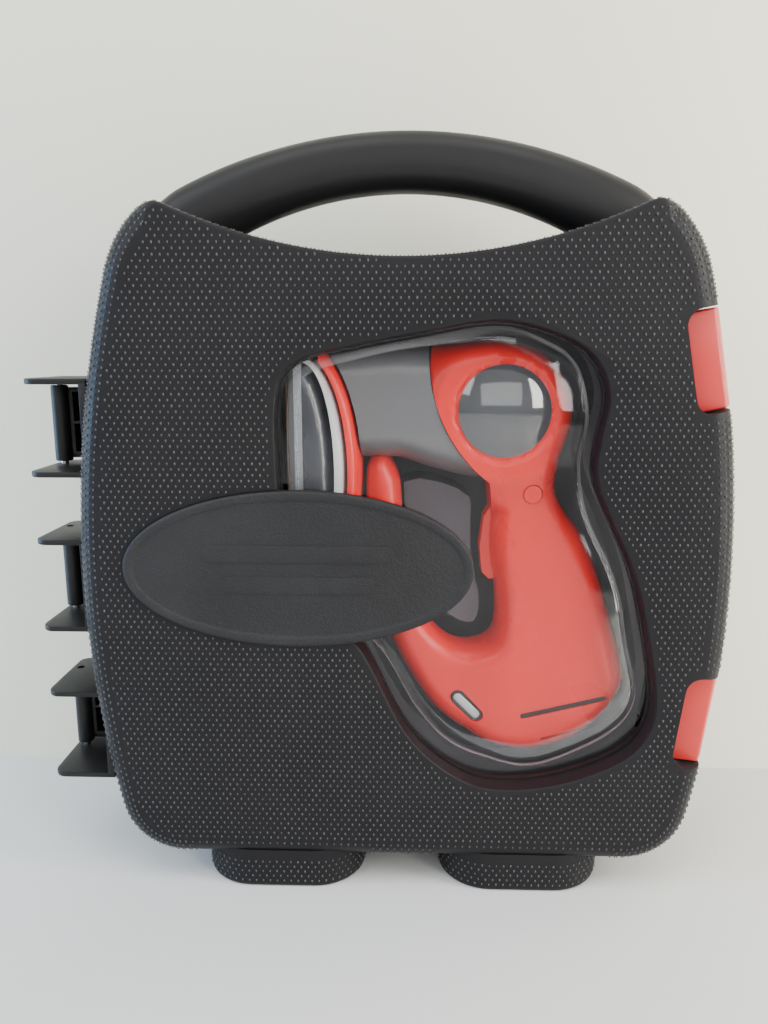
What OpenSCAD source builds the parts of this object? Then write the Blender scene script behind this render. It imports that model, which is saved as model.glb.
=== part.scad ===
// Carrying case with a formed window, and the cordless D-handle tool that lies in it.
// The case stands on its feet. X runs to the right, -Y is the lid's side, Z is up, and the two
// halves of the case meet at Y = 0. Inside the modules, X = 0 is the middle of the case.

/* [Case shell] */
// Largest width of the shell
shell_w = 330; // [322:2:345]
// Depth of each half shell, from the joint line to its outer face
half_d = 48; // [46:1:56]
// Wall thickness of the shells
wall = 2.4; // [2:0.2:3]
// Radius of the rounded front and back edges
edge_r = 12; // [8:1:12]
// Height of the feet below the shell
foot_h = 18; // [12:1:24]
// Height of the shell at its widest
belly_z = 169; // [160:1:175]
// Height of the middle of the top edge
top_z = 330; // [326:1:334]
// Gap between the two half shells at the joint line
joint_gap = 0.3; // [0.2:0.1:0.6]

/* [Handle] */
// Height of the top of the handle
handle_top = 395; // [388:1:402]
// Height of the handle's finger gap at its middle
finger_top = 366; // [362:1:370]
// Depth of each handle half
handle_d = 16; // [12:1:20]

/* [Hinges] */
// Distance of the hinge axis from the widest part of the shell
hinge_out = 22; // [20:1:26]
// Heights of the three hinge units
hinge_z = [248.5, 166, 82];
// Distance between the two plates of a hinge unit
fin_gap = 47; // [40:1:50]
// Thickness of a hinge plate
fin_t = 3; // [2.4:0.2:4]
// Radius of the hinge pins
pin_r = 2; // [1.5:0.25:2.5]
// Radial clearance of every running fit
run_fit = 0.06; // [0.03:0.01:0.1]

/* [Latches] */
// Heights of the two latches
latch_z = [284, 98];
// Length of a latch
latch_len = 48; // [40:1:50]
// Width of a latch's nose
latch_nose = 17; // [13:1:18]
// Radius of the latch pins
latch_pin_r = 1.5; // [1.25:0.25:2]

/* [Window and badge] */
// Depth of the well from the lid's face to the window's flange
well_d = 10; // [8:1:11]
// Thickness of the clear sheet
sheet_t = 1; // [0.8:0.2:1.4]
// Width of the oval badge plate
badge_w = 176; // [160:2:180]
// Height of the oval badge plate
badge_h = 80; // [70:2:84]

/* [Tool] */
// Wall thickness of the tool's shells
tool_wall = 2.4; // [2:0.2:3]
// Half depth of the ring at the top of the tool
ring_d = 25; // [24:0.5:26]
// Half depth of the grip and battery end
grip_d = 21; // [21:0.5:24]
// Half depth of the guard
guard_d = 16; // [14:0.5:18]
// Radius of the round side caps
dome_r = 23.5; // [22:0.5:25]
// Height of the side caps above the ring
dome_h = 8; // [6:0.5:8]
// Travel of the lock button
button_travel = 2; // [1:0.5:2.5]

/* [Drive] */
// Height of the motor's axis
motor_z = 258; // [257:0.5:259]
// Gear module
gear_m = 0.7; // [0.6:0.05:0.75]
// Teeth of the pinion
pinion_n = 12; // [12:1:14]
// Teeth of the output gear
output_n = 26; // [24:1:28]
// Offset of the eccentric
throw = 1.2; // [0.8:0.1:1.5]

/* [Hidden] */
$fn = 64;

shell_colour = "#2b2b2e";
smooth_colour = "#1c1c1e";
red = "#d8453c";
housing_colour = "#4b4c50";
trim_colour = "#9a9ca0";
steel = "#b8bbc0";

half_w = shell_w / 2;
hinge_x = -half_w - hinge_out;
pad_h = 2.5;

// The object stands with the middle of its footprint at the origin.
fin_tip = 5;
latch_reach = 1;
case_x = (hinge_out + fin_tip - latch_reach) / 2;

// ---- geometry helpers ----

// Points on an arc about c from angle a0 to angle a1
function arc(c, r, a0, a1, n) =
    [for (i = [0 : n]) let (a = a0 + (a1 - a0) * i / n) c + r * [cos(a), sin(a)]];

// The point that lies ra from a and rb from b, on the right of the line from a to b
function meet(a, ra, b, rb) =
    let (d = norm(b - a), u = (b - a) / d, s = (ra * ra - rb * rb + d * d) / (2 * d),
         h = sqrt(ra * ra - s * s))
    a + s * u + h * [u[1], -u[0]];

function angle_of(v) = atan2(v[1], v[0]);

// A right half followed by its mirror image
function both_sides(pts) =
    concat(pts, [for (i = [len(pts) - 1 : -1 : 0]) [-pts[i][0], pts[i][1]]]);

// A closed Catmull-Rom curve through the points
function spline(p, a, b, c, d, t) =
    0.5 * (2 * b + (c - a) * t + (2 * a - 5 * b + 4 * c - d) * t * t
    + (3 * b - a - 3 * c + d) * t * t * t);
function smooth(pts, steps) =
    let (n = len(pts))
    [for (i = [0 : n - 1], k = [0 : steps - 1])
        spline(pts, pts[(i + n - 1) % n], pts[i], pts[(i + 1) % n], pts[(i + 2) % n], k / steps)];

// A closed clockwise outline moved outwards by d
function parallel(pts, d) =
    let (n = len(pts))
    [for (i = [0 : n - 1])
        let (before = pts[(i + n - 1) % n], after = pts[(i + 1) % n],
             u = (pts[i] - before) / norm(pts[i] - before),
             v = (after - pts[i]) / norm(after - pts[i]),
             m = (u + v) / norm(u + v))
        pts[i] + d / (m * u) * [-m[1], m[0]]];

// Half an ellipse that bulges to +X, about c
function half_ellipse(c, a, b, n) =
    [for (i = [0 : n]) let (t = 90 - 180 * i / n) c + [a * cos(t), b * sin(t)]];

// Stands an XZ outline up and gives it its depth from y0 to y1
module slab(y0, y1) {
    translate([0, y1, 0]) rotate([90, 0, 0]) linear_extrude(y1 - y0) children();
}

// The same on one side of the joint line: s is -1 for the lid's side, 1 for the base's
module half_slab(s, near, far) {
    slab(s < 0 ? -far : near, s < 0 ? -near : far) children();
}

module placed() { translate([case_x, 0, 0]) children(); }

// ---- case outline ----

// The outline is a chain of arcs, so an inset outline has the same centres and other radii.
side_r = 590;
corner_r = 60;
corner_at = 15.3;
shoulder_r = 14;
base_r = 35;
top_r = 276;
top_c = [0, top_z + top_r];
side_c = [half_w - side_r, belly_z];
corner_c = side_c + (side_r - corner_r) * [cos(corner_at), sin(corner_at)];
shoulder_c = meet(corner_c, corner_r - shoulder_r, top_c, top_r + shoulder_r);
base_c = [side_c[0] + sqrt(pow(side_r - base_r, 2) - pow(belly_z - foot_h - base_r, 2)),
          foot_h + base_r];

function shell_outline(d) =
    let (a_top = angle_of(shoulder_c - top_c),
         a_shoulder = angle_of(shoulder_c - corner_c),
         a_base = angle_of(base_c - side_c))
    both_sides(concat(
        arc(top_c, top_r + d, -89, a_top, 4),
        arc(shoulder_c, shoulder_r - d, a_top + 180 - 8, a_shoulder + 4, 3),
        arc(corner_c, corner_r - d, a_shoulder, corner_at, 3),
        arc(side_c, side_r - d, corner_at - 4, a_base, 6),
        arc(base_c, base_r - d, a_base - 18, -90, 4)));

// The rounded edge is built as steps; each is [share of the edge radius left, share inset].
edge_steps = [[0.8, 0], [0.33, 0.25], [0, 0.7]];

// A half shell's solid whose skin lies d inside the outer one; s is -1 for the lid, 1 for the base
module half_shell_solid(d, s) {
    for (step = edge_steps)
        half_slab(s, joint_gap / 2, half_d - edge_r * step[0] - d)
            polygon(shell_outline(d + edge_r * step[1]));
}

// ---- feet ----

foot_x = 65;
foot_w = 88;
foot_r = 27;
foot_d = half_d - 2;

module foot_plan(d) {
    polygon(concat(
        arc([foot_w / 2 - foot_r, foot_d - foot_r], foot_r - d, 0, 90, 6),
        arc([-foot_w / 2 + foot_r, foot_d - foot_r], foot_r - d, 90, 180, 6),
        [[-foot_w / 2 + d, joint_gap / 2], [foot_w / 2 - d, joint_gap / 2]]));
}

module feet(d, z0, h, s) {
    for (x = [-foot_x, foot_x])
        translate([x, 0, z0]) mirror([0, s < 0 ? 1 : 0, 0]) linear_extrude(h) foot_plan(d);
}

// ---- latches ----

function latch_tilt(z) = asin((z - belly_z) / (side_r));
function latch_x(z) = side_c[0] + sqrt(side_r * side_r - pow(z - belly_z, 2));
pocket_in = latch_nose + 2;
pocket_half = latch_len / 2 + 2.5;
pocket_back = 16.5;
latch_pin_at = [-5, 8];
latch_pin_half = pocket_half + wall;

// Local frame of a latch: X points out of the shell, Z runs along its side
module at_latch(z) { translate([latch_x(z), 0, z]) rotate([0, -latch_tilt(z), 0]) children(); }

module latch_pocket(z, grow) {
    at_latch(z)
        translate([-pocket_in - grow, -half_d - 5, -pocket_half - grow])
            cube([pocket_in + 8 + grow, half_d + 5 + pocket_back + grow, 2 * (pocket_half + grow)]);
}

module latch(z) {
    face = latch_reach + 0.5;
    turn_r = face - latch_pin_at[0];
    at_latch(z) difference() {
        translate([0, 0, -latch_len / 2]) linear_extrude(latch_len) union() {
            translate(latch_pin_at) circle(turn_r);
            polygon([[face, latch_pin_at[1]], [face, -33], [-2.5, -40], [-latch_nose, -40],
                     [-latch_nose, -31], [-5, -28], [-5, latch_pin_at[1]]]);
        }
        translate([latch_pin_at[0], latch_pin_at[1], -latch_len])
            cylinder(r = latch_pin_r + run_fit, h = 2 * latch_len);
    }
}

module latch_pin_set() {
    for (z = latch_z)
        at_latch(z) translate([latch_pin_at[0], latch_pin_at[1], -latch_pin_half])
            cylinder(r = latch_pin_r, h = 2 * latch_pin_half);
}

// ---- window ----

window_points = [[-62, 262], [-62, 215], [-62, 172], [-51, 152], [-24, 141], [2, 92], [28, 68],
    [52, 61], [84, 65], [114, 78], [127, 94], [129, 115], [122, 152], [114, 180], [95, 222],
    [95, 244], [98, 266], [90, 284], [72, 295], [44, 301], [11, 296], [-26, 289], [-53, 281]];
bubble_points = [[-57, 262], [-57, 215], [-57, 176], [-44, 158], [-14, 139], [7, 104], [24, 85],
    [43, 76], [68, 71], [96, 82], [114, 95], [121, 112], [115, 140], [108, 172], [92, 206],
    [87, 232], [90, 256], [83, 281], [66, 293], [44, 299], [12, 294], [-24, 287], [-50, 279]];

// The points run anticlockwise from the left edge, so parallel() takes them reversed
function reversed(pts) = [for (i = [len(pts) - 1 : -1 : 0]) pts[i]];
function window_outline(d) = parallel(reversed(smooth(window_points, 3)), d);
function bubble_outline(d) = parallel(reversed(smooth(bubble_points, 3)), d);

flange_y = -half_d + well_d;
flange_over = 6;

module badge_oval(d) {
    polygon([for (i = [0 : 47]) [cos(i * 7.5) * (badge_w / 2 + d), sin(i * 7.5) * (badge_h / 2 + d)]]);
}
badge_at = [-52.5, 180];
badge_t = 3.4;
badge_sink = 0.9;
stud_x = [-55, -25];
stud_r = 2.5;

// ---- case parts ----

module lid_shell() {
    color(shell_colour) placed() difference() {
        union() {
            half_shell_solid(0, -1);
            feet(0, 0, foot_h + 4, -1);
        }
        difference() {
            half_shell_solid(wall, -1);
            for (z = latch_z) latch_pocket(z, wall);
            slab(-half_d, flange_y) polygon(window_outline(wall));
        }
        feet(wall, wall, foot_h + 2, -1);
        for (z = latch_z) latch_pocket(z, 0);
        slab(-half_d - 1, flange_y + 1) polygon(window_outline(0));
        slab(-half_d - 1, -half_d + badge_sink)
            translate(badge_at) badge_oval(0.4);
        for (x = stud_x) translate([badge_at[0] + x, -half_d - 1, badge_at[1]])
            rotate([-90, 0, 0]) cylinder(r = stud_r + 0.1, h = 8);
    }
}

module base_shell() {
    color(shell_colour) placed() difference() {
        union() {
            half_shell_solid(0, 1);
            feet(0, 0, foot_h + 4, 1);
            for (x = [-105, 105], z = [70, 290])
                translate([x, half_d - 1, z]) rotate([-90, 0, 0]) cylinder(r = 9, h = pad_h + 1);
        }
        difference() {
            half_shell_solid(wall, 1);
            for (z = latch_z) latch_pocket(z, wall);
            for (p = tray_screw_at) translate([p[0], tray_y + tray_t, p[1]])
                rotate([-90, 0, 0]) cylinder(r = 4.5, h = half_d);
        }
        feet(wall, wall, foot_h + 2, 1);
        for (z = latch_z) latch_pocket(z, 0);
        latch_pin_set();
        for (p = tray_screw_at) translate([p[0], tray_y, p[1]])
            rotate([-90, 0, 0]) cylinder(r = screw_r, h = 22);
    }
}

// ---- tray ----

tray_y = 5;
tray_t = 2.4;
dome_clear = 4.5;
tray_floor = ring_d + dome_h + dome_clear;
tray_gap = 0.8;
pocket_grow = 4;
screw_r = 1.6;
tray_screw_at = [[-118, 206], [-40, 305], [139, 200], [10, 35]];
loop_points = [[0, 216], [4, 190], [9, 166], [18, 148], [32, 136], [41, 137], [43, 150], [38, 172],
    [37, 196], [36, 208], [20, 216]];
loop_outline = reversed(smooth(loop_points, 2));
accessory_box = [[-128, 46, 84, 78], [-130, 232, 52, 66]];

module rounded_box(b, d) {
    r = 8;
    polygon(concat(
        arc([b[0] + b[2] - r, b[1] + b[3] - r], r + d, 0, 90, 4),
        arc([b[0] + r, b[1] + b[3] - r], r + d, 90, 180, 4),
        arc([b[0] + r, b[1] + r], r + d, 180, 270, 4),
        arc([b[0] + b[2] - r, b[1] + r], r + d, 270, 360, 4)));
}

module tool_tray() {
    color("#38383b") placed() difference() {
        union() {
            slab(tray_y, tray_y + tray_t) polygon(shell_outline(wall + tray_gap));
            slab(tray_y, tray_floor + tray_t) polygon(window_outline(pocket_grow + tray_t));
            for (b = accessory_box) slab(tray_y, tray_floor) rounded_box(b, tray_t);
        }
        difference() {
            slab(tray_y - 1, tray_floor) polygon(window_outline(pocket_grow));
            slab(tray_y - 1, tray_floor) polygon(loop_outline);
        }
        slab(tray_y + tray_t, tray_floor + tray_t + 1) polygon(parallel(loop_outline, -tray_t));
        for (b = accessory_box) slab(tray_y - 1, tray_floor - tray_t) rounded_box(b, 0);
        for (z = latch_z) latch_pocket(z, wall + tray_gap);
        for (p = tray_screw_at) translate([p[0], tray_y - 1, p[1]])
            rotate([-90, 0, 0]) cylinder(r = screw_r + 0.1, h = 2 * tray_t);
    }
}

module tray_screws() {
    color(steel) placed() for (p = tray_screw_at) translate([p[0], tray_y, p[1]])
        rotate([-90, 0, 0]) {
            cylinder(r = screw_r, h = 16);
            translate([0, 0, -1.8]) difference() {
                cylinder(r = 3.2, h = 1.8);
                translate([-2.4, -0.5, -0.1]) cube([4.8, 1, 1]);
            }
        }
}

// ---- window, retainer, badge ----

module window_blister() {
    color("#c8d0d4", 0.4) placed() difference() {
        union() {
            slab(flange_y + 0.1, flange_y + 0.1 + sheet_t) polygon(window_outline(flange_over));
            slab(-half_d + 2.4, flange_y + 0.1 + sheet_t) polygon(bubble_outline(0));
        }
        slab(-half_d + 2.4 + sheet_t, 0) polygon(bubble_outline(-sheet_t));
    }
}

module window_retainer() {
    y = flange_y + 0.2 + sheet_t;
    color(smooth_colour) placed() slab(y, y + 2.4) difference() {
        polygon(window_outline(flange_over));
        polygon(window_outline(-1));
    }
}

module badge_plate() {
    y = -half_d + badge_sink;
    color(smooth_colour) placed() translate([badge_at[0], 0, badge_at[1]]) {
        slab(y - badge_t + 1, y) badge_oval(0);
        slab(y - badge_t, y - badge_t + 1) badge_oval(-1.2);
        for (x = stud_x) translate([x, y, 0]) rotate([-90, 0, 0]) cylinder(r = stud_r, h = 5);
    }
}

// ---- handle ----

handle_r = 265;
handle_fillet = 50;
finger_r = 188;
handle_end_z = 342;

function handle_outer(d) =
    let (c = [0, handle_top - handle_r],
         f = meet(c, handle_r - handle_fillet, side_c, side_r - handle_fillet),
         a_f = angle_of(f - c), a_side = angle_of(f - side_c))
    both_sides(concat(
        arc(c, handle_r - d, 89, a_f, 8),
        arc(f, handle_fillet - d, a_f - 5, a_side, 5),
        [side_c + (side_r - d) * [cos(14), sin(14)]]));

module handle_section(d) {
    difference() {
        polygon(handle_outer(d));
        polygon(shell_outline(0));
        translate([0, finger_top - finger_r]) circle(finger_r + d, $fn = 180);
        translate([-shell_w, handle_end_z - shell_w]) square([2 * shell_w, shell_w]);
    }
}

module handle_front() {
    color(smooth_colour) placed() {
        slab(-handle_d + 4, -joint_gap / 2) handle_section(0);
        slab(-handle_d, -handle_d + 4) handle_section(2.5);
    }
}

module handle_rear() {
    color(smooth_colour) placed() {
        slab(joint_gap / 2, handle_d - 4) handle_section(0);
        slab(handle_d - 4, handle_d) handle_section(2.5);
    }
}

// ---- hinges ----

fin_front = -35;
fin_rear = 15;
fin_in = 14;

module fin_plan() {
    polygon(concat(
        [[hinge_x + hinge_out + 30, 0], [hinge_x + hinge_out + 30, fin_front]],
        arc([hinge_x - fin_tip + 4, fin_front + 4], 4, 270, 180, 3),
        arc([hinge_x - fin_tip + 4, fin_rear - 4], 4, 180, 90, 3),
        arc([hinge_x + fin_in - 6, fin_rear - 6], 6, 90, 0, 3),
        [[hinge_x + fin_in, -joint_gap], [hinge_x + fin_in + 4, -joint_gap]]));
}

module hinge_fins(z) {
    color(smooth_colour) placed() difference() {
        union() {
            for (s = [-1, 1]) translate([0, 0, z + s * fin_gap / 2 - fin_t / 2])
                linear_extrude(fin_t) difference() {
                    fin_plan();
                    translate([hinge_x, 0]) circle(pin_r);
                }
            translate([-latch_x(z) - 3, fin_front, z - fin_gap / 2]) cube([12, 28, fin_gap]);
        }
        slab(-half_d, half_d) polygon(shell_outline(0));
    }
}

knuckle_half = 19;
knuckle_d = 15;
barrel_r = 4.6;

module knuckle(z) {
    web = 2.2;
    left = hinge_x - 3.4;
    deep = half_w - latch_x(z) + hinge_out + 10;
    color(smooth_colour) placed() difference() {
        union() {
            difference() {
                translate([left, 0.4, z - knuckle_half])
                    cube([deep, knuckle_d, 2 * knuckle_half]);
                for (s = [-1, 0])
                    translate([left + 10, -1, z + s * knuckle_half - s * web + web / 2])
                        cube([deep - 10, knuckle_d - web + 1, knuckle_half - 1.5 * web]);
            }
            translate([hinge_x, 0, z - fin_gap / 2 + fin_t])
                cylinder(r = barrel_r, h = fin_gap - 2 * fin_t);
        }
        translate([hinge_x, 0, z - fin_gap]) cylinder(r = pin_r + run_fit, h = 2 * fin_gap);
        slab(-half_d, half_d) polygon(shell_outline(0));
    }
}

module upper_hinge_fins() { hinge_fins(hinge_z[0]); }
module middle_hinge_fins() { hinge_fins(hinge_z[1]); }
module lower_hinge_fins() { hinge_fins(hinge_z[2]); }
module upper_knuckle() { knuckle(hinge_z[0]); }
module middle_knuckle() { knuckle(hinge_z[1]); }
module lower_knuckle() { knuckle(hinge_z[2]); }

module hinge_pins() {
    long = fin_gap + fin_t;
    color(steel) placed() for (z = hinge_z)
        translate([hinge_x, 0, z - long / 2]) cylinder(r = pin_r, h = long);
}

module upper_latch() { color(red) placed() latch(latch_z[0]); }
module lower_latch() { color(red) placed() latch(latch_z[1]); }
module latch_pins() { color(steel) placed() latch_pin_set(); }

// ---- tool outline ----

// Half the gap between the two halves of the tool's mouldings
seam_gap = 0.05;

// The ring's edge against the motor housing is one arc
seam_c = [92, 283];
seam_r = 79;
function seam(d) = arc(seam_c, seam_r + d, 180, 233, 7);

grip_points = [[14, 290], [32, 292], [51, 293], [72, 286], [85, 270], [88, 252], [82, 230],
    [81, 214], [87, 202], [96, 190], [106, 168], [113, 146], [121, 120], [122, 106], [112, 88],
    [94, 73], [72, 66], [56, 67], [43, 71], [21, 86], [7, 104], [-6, 128], [-14, 152],
    [-19, 182], [-20, 214], [-17, 228]];
loop_edge = [[-4, 230], [-2, 212], [0, 188], [5, 160], [12, 142], [26, 128], [40, 126], [50, 133],
    [51, 155], [46.5, 183], [47, 202]];

function open_smooth(pts, steps) =
    let (n = len(pts))
    concat([for (i = [0 : n - 2], k = [0 : steps - 1])
        spline(pts, pts[max(i - 1, 0)], pts[i], pts[i + 1], pts[min(i + 2, n - 1)], k / steps)],
        [pts[n - 1]]);

grip_outline = concat(open_smooth(grip_points, 2), open_smooth(loop_edge, 2), reversed(seam(0)));

grip_zone = [[82, 228], [100, 200], [126, 150], [130, 100], [112, 80], [72, 60], [48, 60],
    [46, 120], [40, 150], [40, 200], [47, 222]];
ring_at = [51, 257];
ring_r = 37.5;

module grip_half(s, d) {
    full = parallel(grip_outline, -d);
    half_slab(s, seam_gap - d, guard_d - d) polygon(full);
    half_slab(s, seam_gap - d, grip_d - d) intersection() { polygon(full); polygon(grip_zone); }
    half_slab(s, seam_gap - d, ring_d - d)
        intersection() { polygon(full); translate(ring_at) circle(ring_r - d); }
}

slot_lines = [[[66, 90], [110, 101], 2.4], [[76, 73.5], [103, 81], 1.2], [[80, 70.5], [100, 76], 1]];
lock_at = [67, 214];
lock_r = 5;
lens_at = [35, 97];
screw_at = [[14, 106], [-11, 190], [58, 80], [103, 86], [79, 246]];
body_screw_r = 1.5;

module capsule(a, b, r) {
    t = angle_of(b - a);
    polygon(concat(arc(b, r, t - 90, t + 90, 6), arc(a, r, t + 90, t + 270, 6)));
}

module grip_shell(s) {
    difference() {
        grip_half(s, 0);
        difference() {
            grip_half(s, tool_wall);
            for (p = screw_at) translate([p[0], -30, p[1]]) rotate([-90, 0, 0]) cylinder(r = 3.4, h = 60);
        }
        translate([0, 0, motor_z]) rotate([0, 90, 0]) cylinder(r = can_r + 0.5, h = 42);
        translate([ring_at[0], 0, ring_at[1]]) rotate([90, 0, 0])
            cylinder(r = dome_r - 3, h = 60, center = true);
        translate([34, -7, 160]) cube([20, 14, 56]);
        for (p = screw_at) translate([p[0], -ring_d + 8, p[1]])
            rotate([-90, 0, 0]) cylinder(r = body_screw_r + 0.05, h = 60);
    }
}

module grip_shell_front() {
    color(red) placed() difference() {
        grip_shell(-1);
        for (l = slot_lines) slab(-grip_d - 1, -grip_d + 1.2) capsule(l[0], l[1], l[2] / 2);
        translate([lock_at[0], 0, lock_at[1]]) rotate([90, 0, 0]) cylinder(r = lock_r + 0.3, h = 40);
        slab(-40, -5) lens_shape(0.1);
    }
}

module grip_shell_rear() {
    color(red) placed() difference() {
        grip_shell(1);
        for (p = screw_at) translate([p[0], screw_head_y(p), p[1]])
            rotate([-90, 0, 0]) cylinder(r = 3.1, h = 30);
        translate([94, 5, 78]) rotate([0, 150, 0]) cylinder(r = 4.1, h = 30, center = true);
    }
}

function screw_head_y(p) = (p[0] > 50 ? (p[1] > 200 ? ring_d : grip_d) : guard_d) - 2;

module body_screws() {
    color(steel) placed() for (p = screw_at) translate([p[0], 0, p[1]]) rotate([-90, 0, 0]) {
        translate([0, 0, -12]) cylinder(r = body_screw_r, h = 12 + screw_head_y(p));
        translate([0, 0, screw_head_y(p)]) cylinder(r = 2.8, h = 1.8);
    }
}

module lens_shape(d) { capsule(lens_at + [-5, 5], lens_at + [5, -5], 3.8 + d); }

module indicator_lens() {
    color("#d6dade", 0.7) placed() {
        slab(-guard_d - 0.8, -guard_d + 2) lens_shape(0);
    }
}

// ---- motor housing ----

head_c = [-51, 225];
collar_a = 29;
collar_b = 67;
housing_top = 289;
housing_low = 231.6;

function collar_angle(z) = asin((z - head_c[1]) / collar_b);
function collar_edge(a0, a1, n) =
    [for (i = [0 : n]) let (t = a0 + (a1 - a0) * i / n)
        head_c + [(collar_a + 0.2) * cos(t), (collar_b + 0.2) * sin(t)]];
housing_d = 24;

housing_outline = concat(
    collar_edge(collar_angle(housing_low), collar_angle(housing_top - 1), 6),
    [[-36, housing_top], [0, housing_top + 2], [12.6, housing_top + 1]],
    seam(0.4),
    [[30, 222], [12, 226.5], [-3, housing_low]]);

module housing_half(s) {
    difference() {
        half_slab(s, seam_gap, housing_d) polygon(housing_outline);
        half_slab(s, seam_gap - 1, housing_d - tool_wall)
            polygon(parallel(housing_outline, -tool_wall));
        translate([0, 0, motor_z]) rotate([0, 90, 0]) cylinder(r = can_r + 0.5, h = 50);
        translate([-40, 0, output_z]) rotate([0, 90, 0]) cylinder(r = 5, h = 30);
    }
}

module motor_housing_front() { color(housing_colour) placed() housing_half(-1); }
module motor_housing_rear() { color(housing_colour) placed() housing_half(1); }

// ---- side domes ----

module dome(s) {
    ball = (dome_r * dome_r + dome_h * dome_h) / (2 * dome_h);
    translate([ring_at[0], 0, ring_at[1]]) mirror([0, s < 0 ? 0 : 1, 0]) difference() {
        translate([0, -ring_d - dome_h + ball, 0]) sphere(ball);
        translate([0, -ring_d - dome_h + ball, 0]) sphere(ball - 2);
        translate([-60, -ring_d, -60]) cube([120, 120, 120]);
    }
}
module side_dome_front() { color("#3a3c40") placed() dome(-1); }
module side_dome_rear() { color("#3a3c40") placed() dome(1); }

// ---- head ----

band_a = 22;
band_b = 60;
head_a = 15.5;
head_b = 56;
head_d = 32;
platen_t = 4;
pad_t = 2.5;
sheet_grit_t = 1.5;

module head_ring(a, b, inner_a, inner_b, depth, left) {
    slab(-depth, depth) difference() {
        intersection() {
            polygon(half_ellipse(head_c, a, b, 24));
            translate([head_c[0] + left, 0]) square([60, housing_top]);
        }
        polygon(half_ellipse(head_c + [-0.01, 0], inner_a, inner_b, 24));
    }
}

module output_hole(r) {
    translate([-60, 0, output_z]) rotate([0, 90, 0]) cylinder(r = r, h = 50);
}

module head_collar() {
    color(red) placed() difference() {
        head_ring(collar_a, collar_b, band_a + 0.2, band_b + 0.2, 28, 8);
        output_hole(bearing_r + 0.02);
    }
}

module trim_band() {
    color(trim_colour) placed() difference() {
        head_ring(band_a, band_b, head_a + 0.1, head_b + 0.1, 30, 0);
        output_hole(7);
    }
}

module head_half(s) {
    difference() {
        half_slab(s, seam_gap, head_d) polygon(half_ellipse(head_c, head_a, head_b, 24));
        half_slab(s, seam_gap - 1, head_d - tool_wall)
            polygon(half_ellipse(head_c + [tool_wall, 0], head_a - 2 * tool_wall,
                head_b - tool_wall - 8, 24));
        output_hole(5.2);
        output_hole_wide();
    }
}

module output_hole_wide() {
    translate([-60, 0, output_z]) rotate([0, 90, 0]) cylinder(r = 9.6, h = 12);
}

module head_shell_front() { color("#55575c") placed() head_half(-1); }
module head_shell_rear() { color("#55575c") placed() head_half(1); }

module platen_slab(x1, t, half_z, half_y) {
    translate([x1 - t, -half_y, head_c[1] - half_z]) cube([t, 2 * half_y, 2 * half_z]);
}

module platen() {
    color("#a9adb1") placed() difference() {
        platen_slab(head_c[0] - 0.1, platen_t, head_b, head_d);
        along_x(head_c[0] - 0.1 - platen_t + 0.7, head_c[0] + 1, output_z)
            circle(eccentric_r + throw + 0.3);
    }
}
module platen_pad() {
    color("#222222") placed() platen_slab(head_c[0] - 0.1 - platen_t, pad_t, head_b, head_d);
}
module abrasive_sheet() {
    color("#6e4a34") placed()
        platen_slab(head_c[0] - 0.1 - platen_t - pad_t, sheet_grit_t, head_b - 1, head_d - 1);
}

// ---- trigger, switch, lock button ----

trigger_pivot = [55, 208];
trigger_pin_r = 1.5;
trigger_half = 6.4;

module trigger() {
    color(red) placed() difference() {
        union() {
            slab(-trigger_half, trigger_half) polygon([[43.5, 199], [51, 212], [58, 212], [59, 205],
                [56, 190], [56, 166], [47, 164], [43, 168], [41.5, 182]]);
        }
        translate([trigger_pivot[0], 0, trigger_pivot[1]]) rotate([90, 0, 0])
            cylinder(r = trigger_pin_r + run_fit, h = 40, center = true);
        slab(-3.2, 3.2) translate(trigger_pivot) circle(5);
    }
}

module trigger_pin() {
    color(steel) placed() translate([trigger_pivot[0], 0, trigger_pivot[1]]) rotate([90, 0, 0])
        cylinder(r = trigger_pin_r, h = 2 * (grip_d - tool_wall), center = true);
}

module trigger_spring() {
    color(steel) placed() translate([trigger_pivot[0], 0, trigger_pivot[1]]) rotate([90, 0, 0])
        for (k = [-2 : 2]) translate([0, 0, k * 1.1]) rotate_extrude()
            translate([trigger_pin_r + 0.9, 0]) circle(0.4);
}

module switch_block() {
    color("#1d3f6e") placed() difference() {
        translate([64, -7, 166]) cube([14, 14, 32]);
        translate([60, -8, 192]) cube([6, 16, 8]);
    }
}

module lock_button() {
    color("#2f3034") placed() translate([lock_at[0], 0, lock_at[1]]) rotate([90, 0, 0]) {
        translate([0, 0, grip_d - tool_wall - 3]) cylinder(r = lock_r + 1.5, h = 2.8);
        translate([0, 0, grip_d - tool_wall - 3]) cylinder(r = lock_r, h = tool_wall + 3 + 1.6);
    }
}

// ---- battery and charge socket ----

cell_r = 8.6;
cell_h = 42;

module battery_cells() {
    color("#3f7f5a") placed() for (x = [66, 83.5, 101], y = [-9, 9]) translate([x, y, 0]) {
        translate([0, 0, 96]) cylinder(r = cell_r, h = cell_h - 1.5);
        translate([0, 0, 96 + cell_h - 1.5]) cylinder(r = 3, h = 1.5);
    }
}

module charge_socket() {
    color("#17181a") placed() translate([94, 5, 78]) rotate([0, 150, 0]) difference() {
        cylinder(r = 4, h = 12, center = true);
        translate([0, 0, 1]) cylinder(r = 2.6, h = 12);
    }
}

// ---- motor ----

can_r = 19;
can_x0 = 0;
can_x1 = 49;
shaft_r = 1.6;
bearing_r = 6;

// A shaft-like part along the motor's axis, from x0 to x1
module along_x(x0, x1, z) { translate([x0, 0, z]) rotate([0, 90, 0]) linear_extrude(x1 - x0) children(); }

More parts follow.
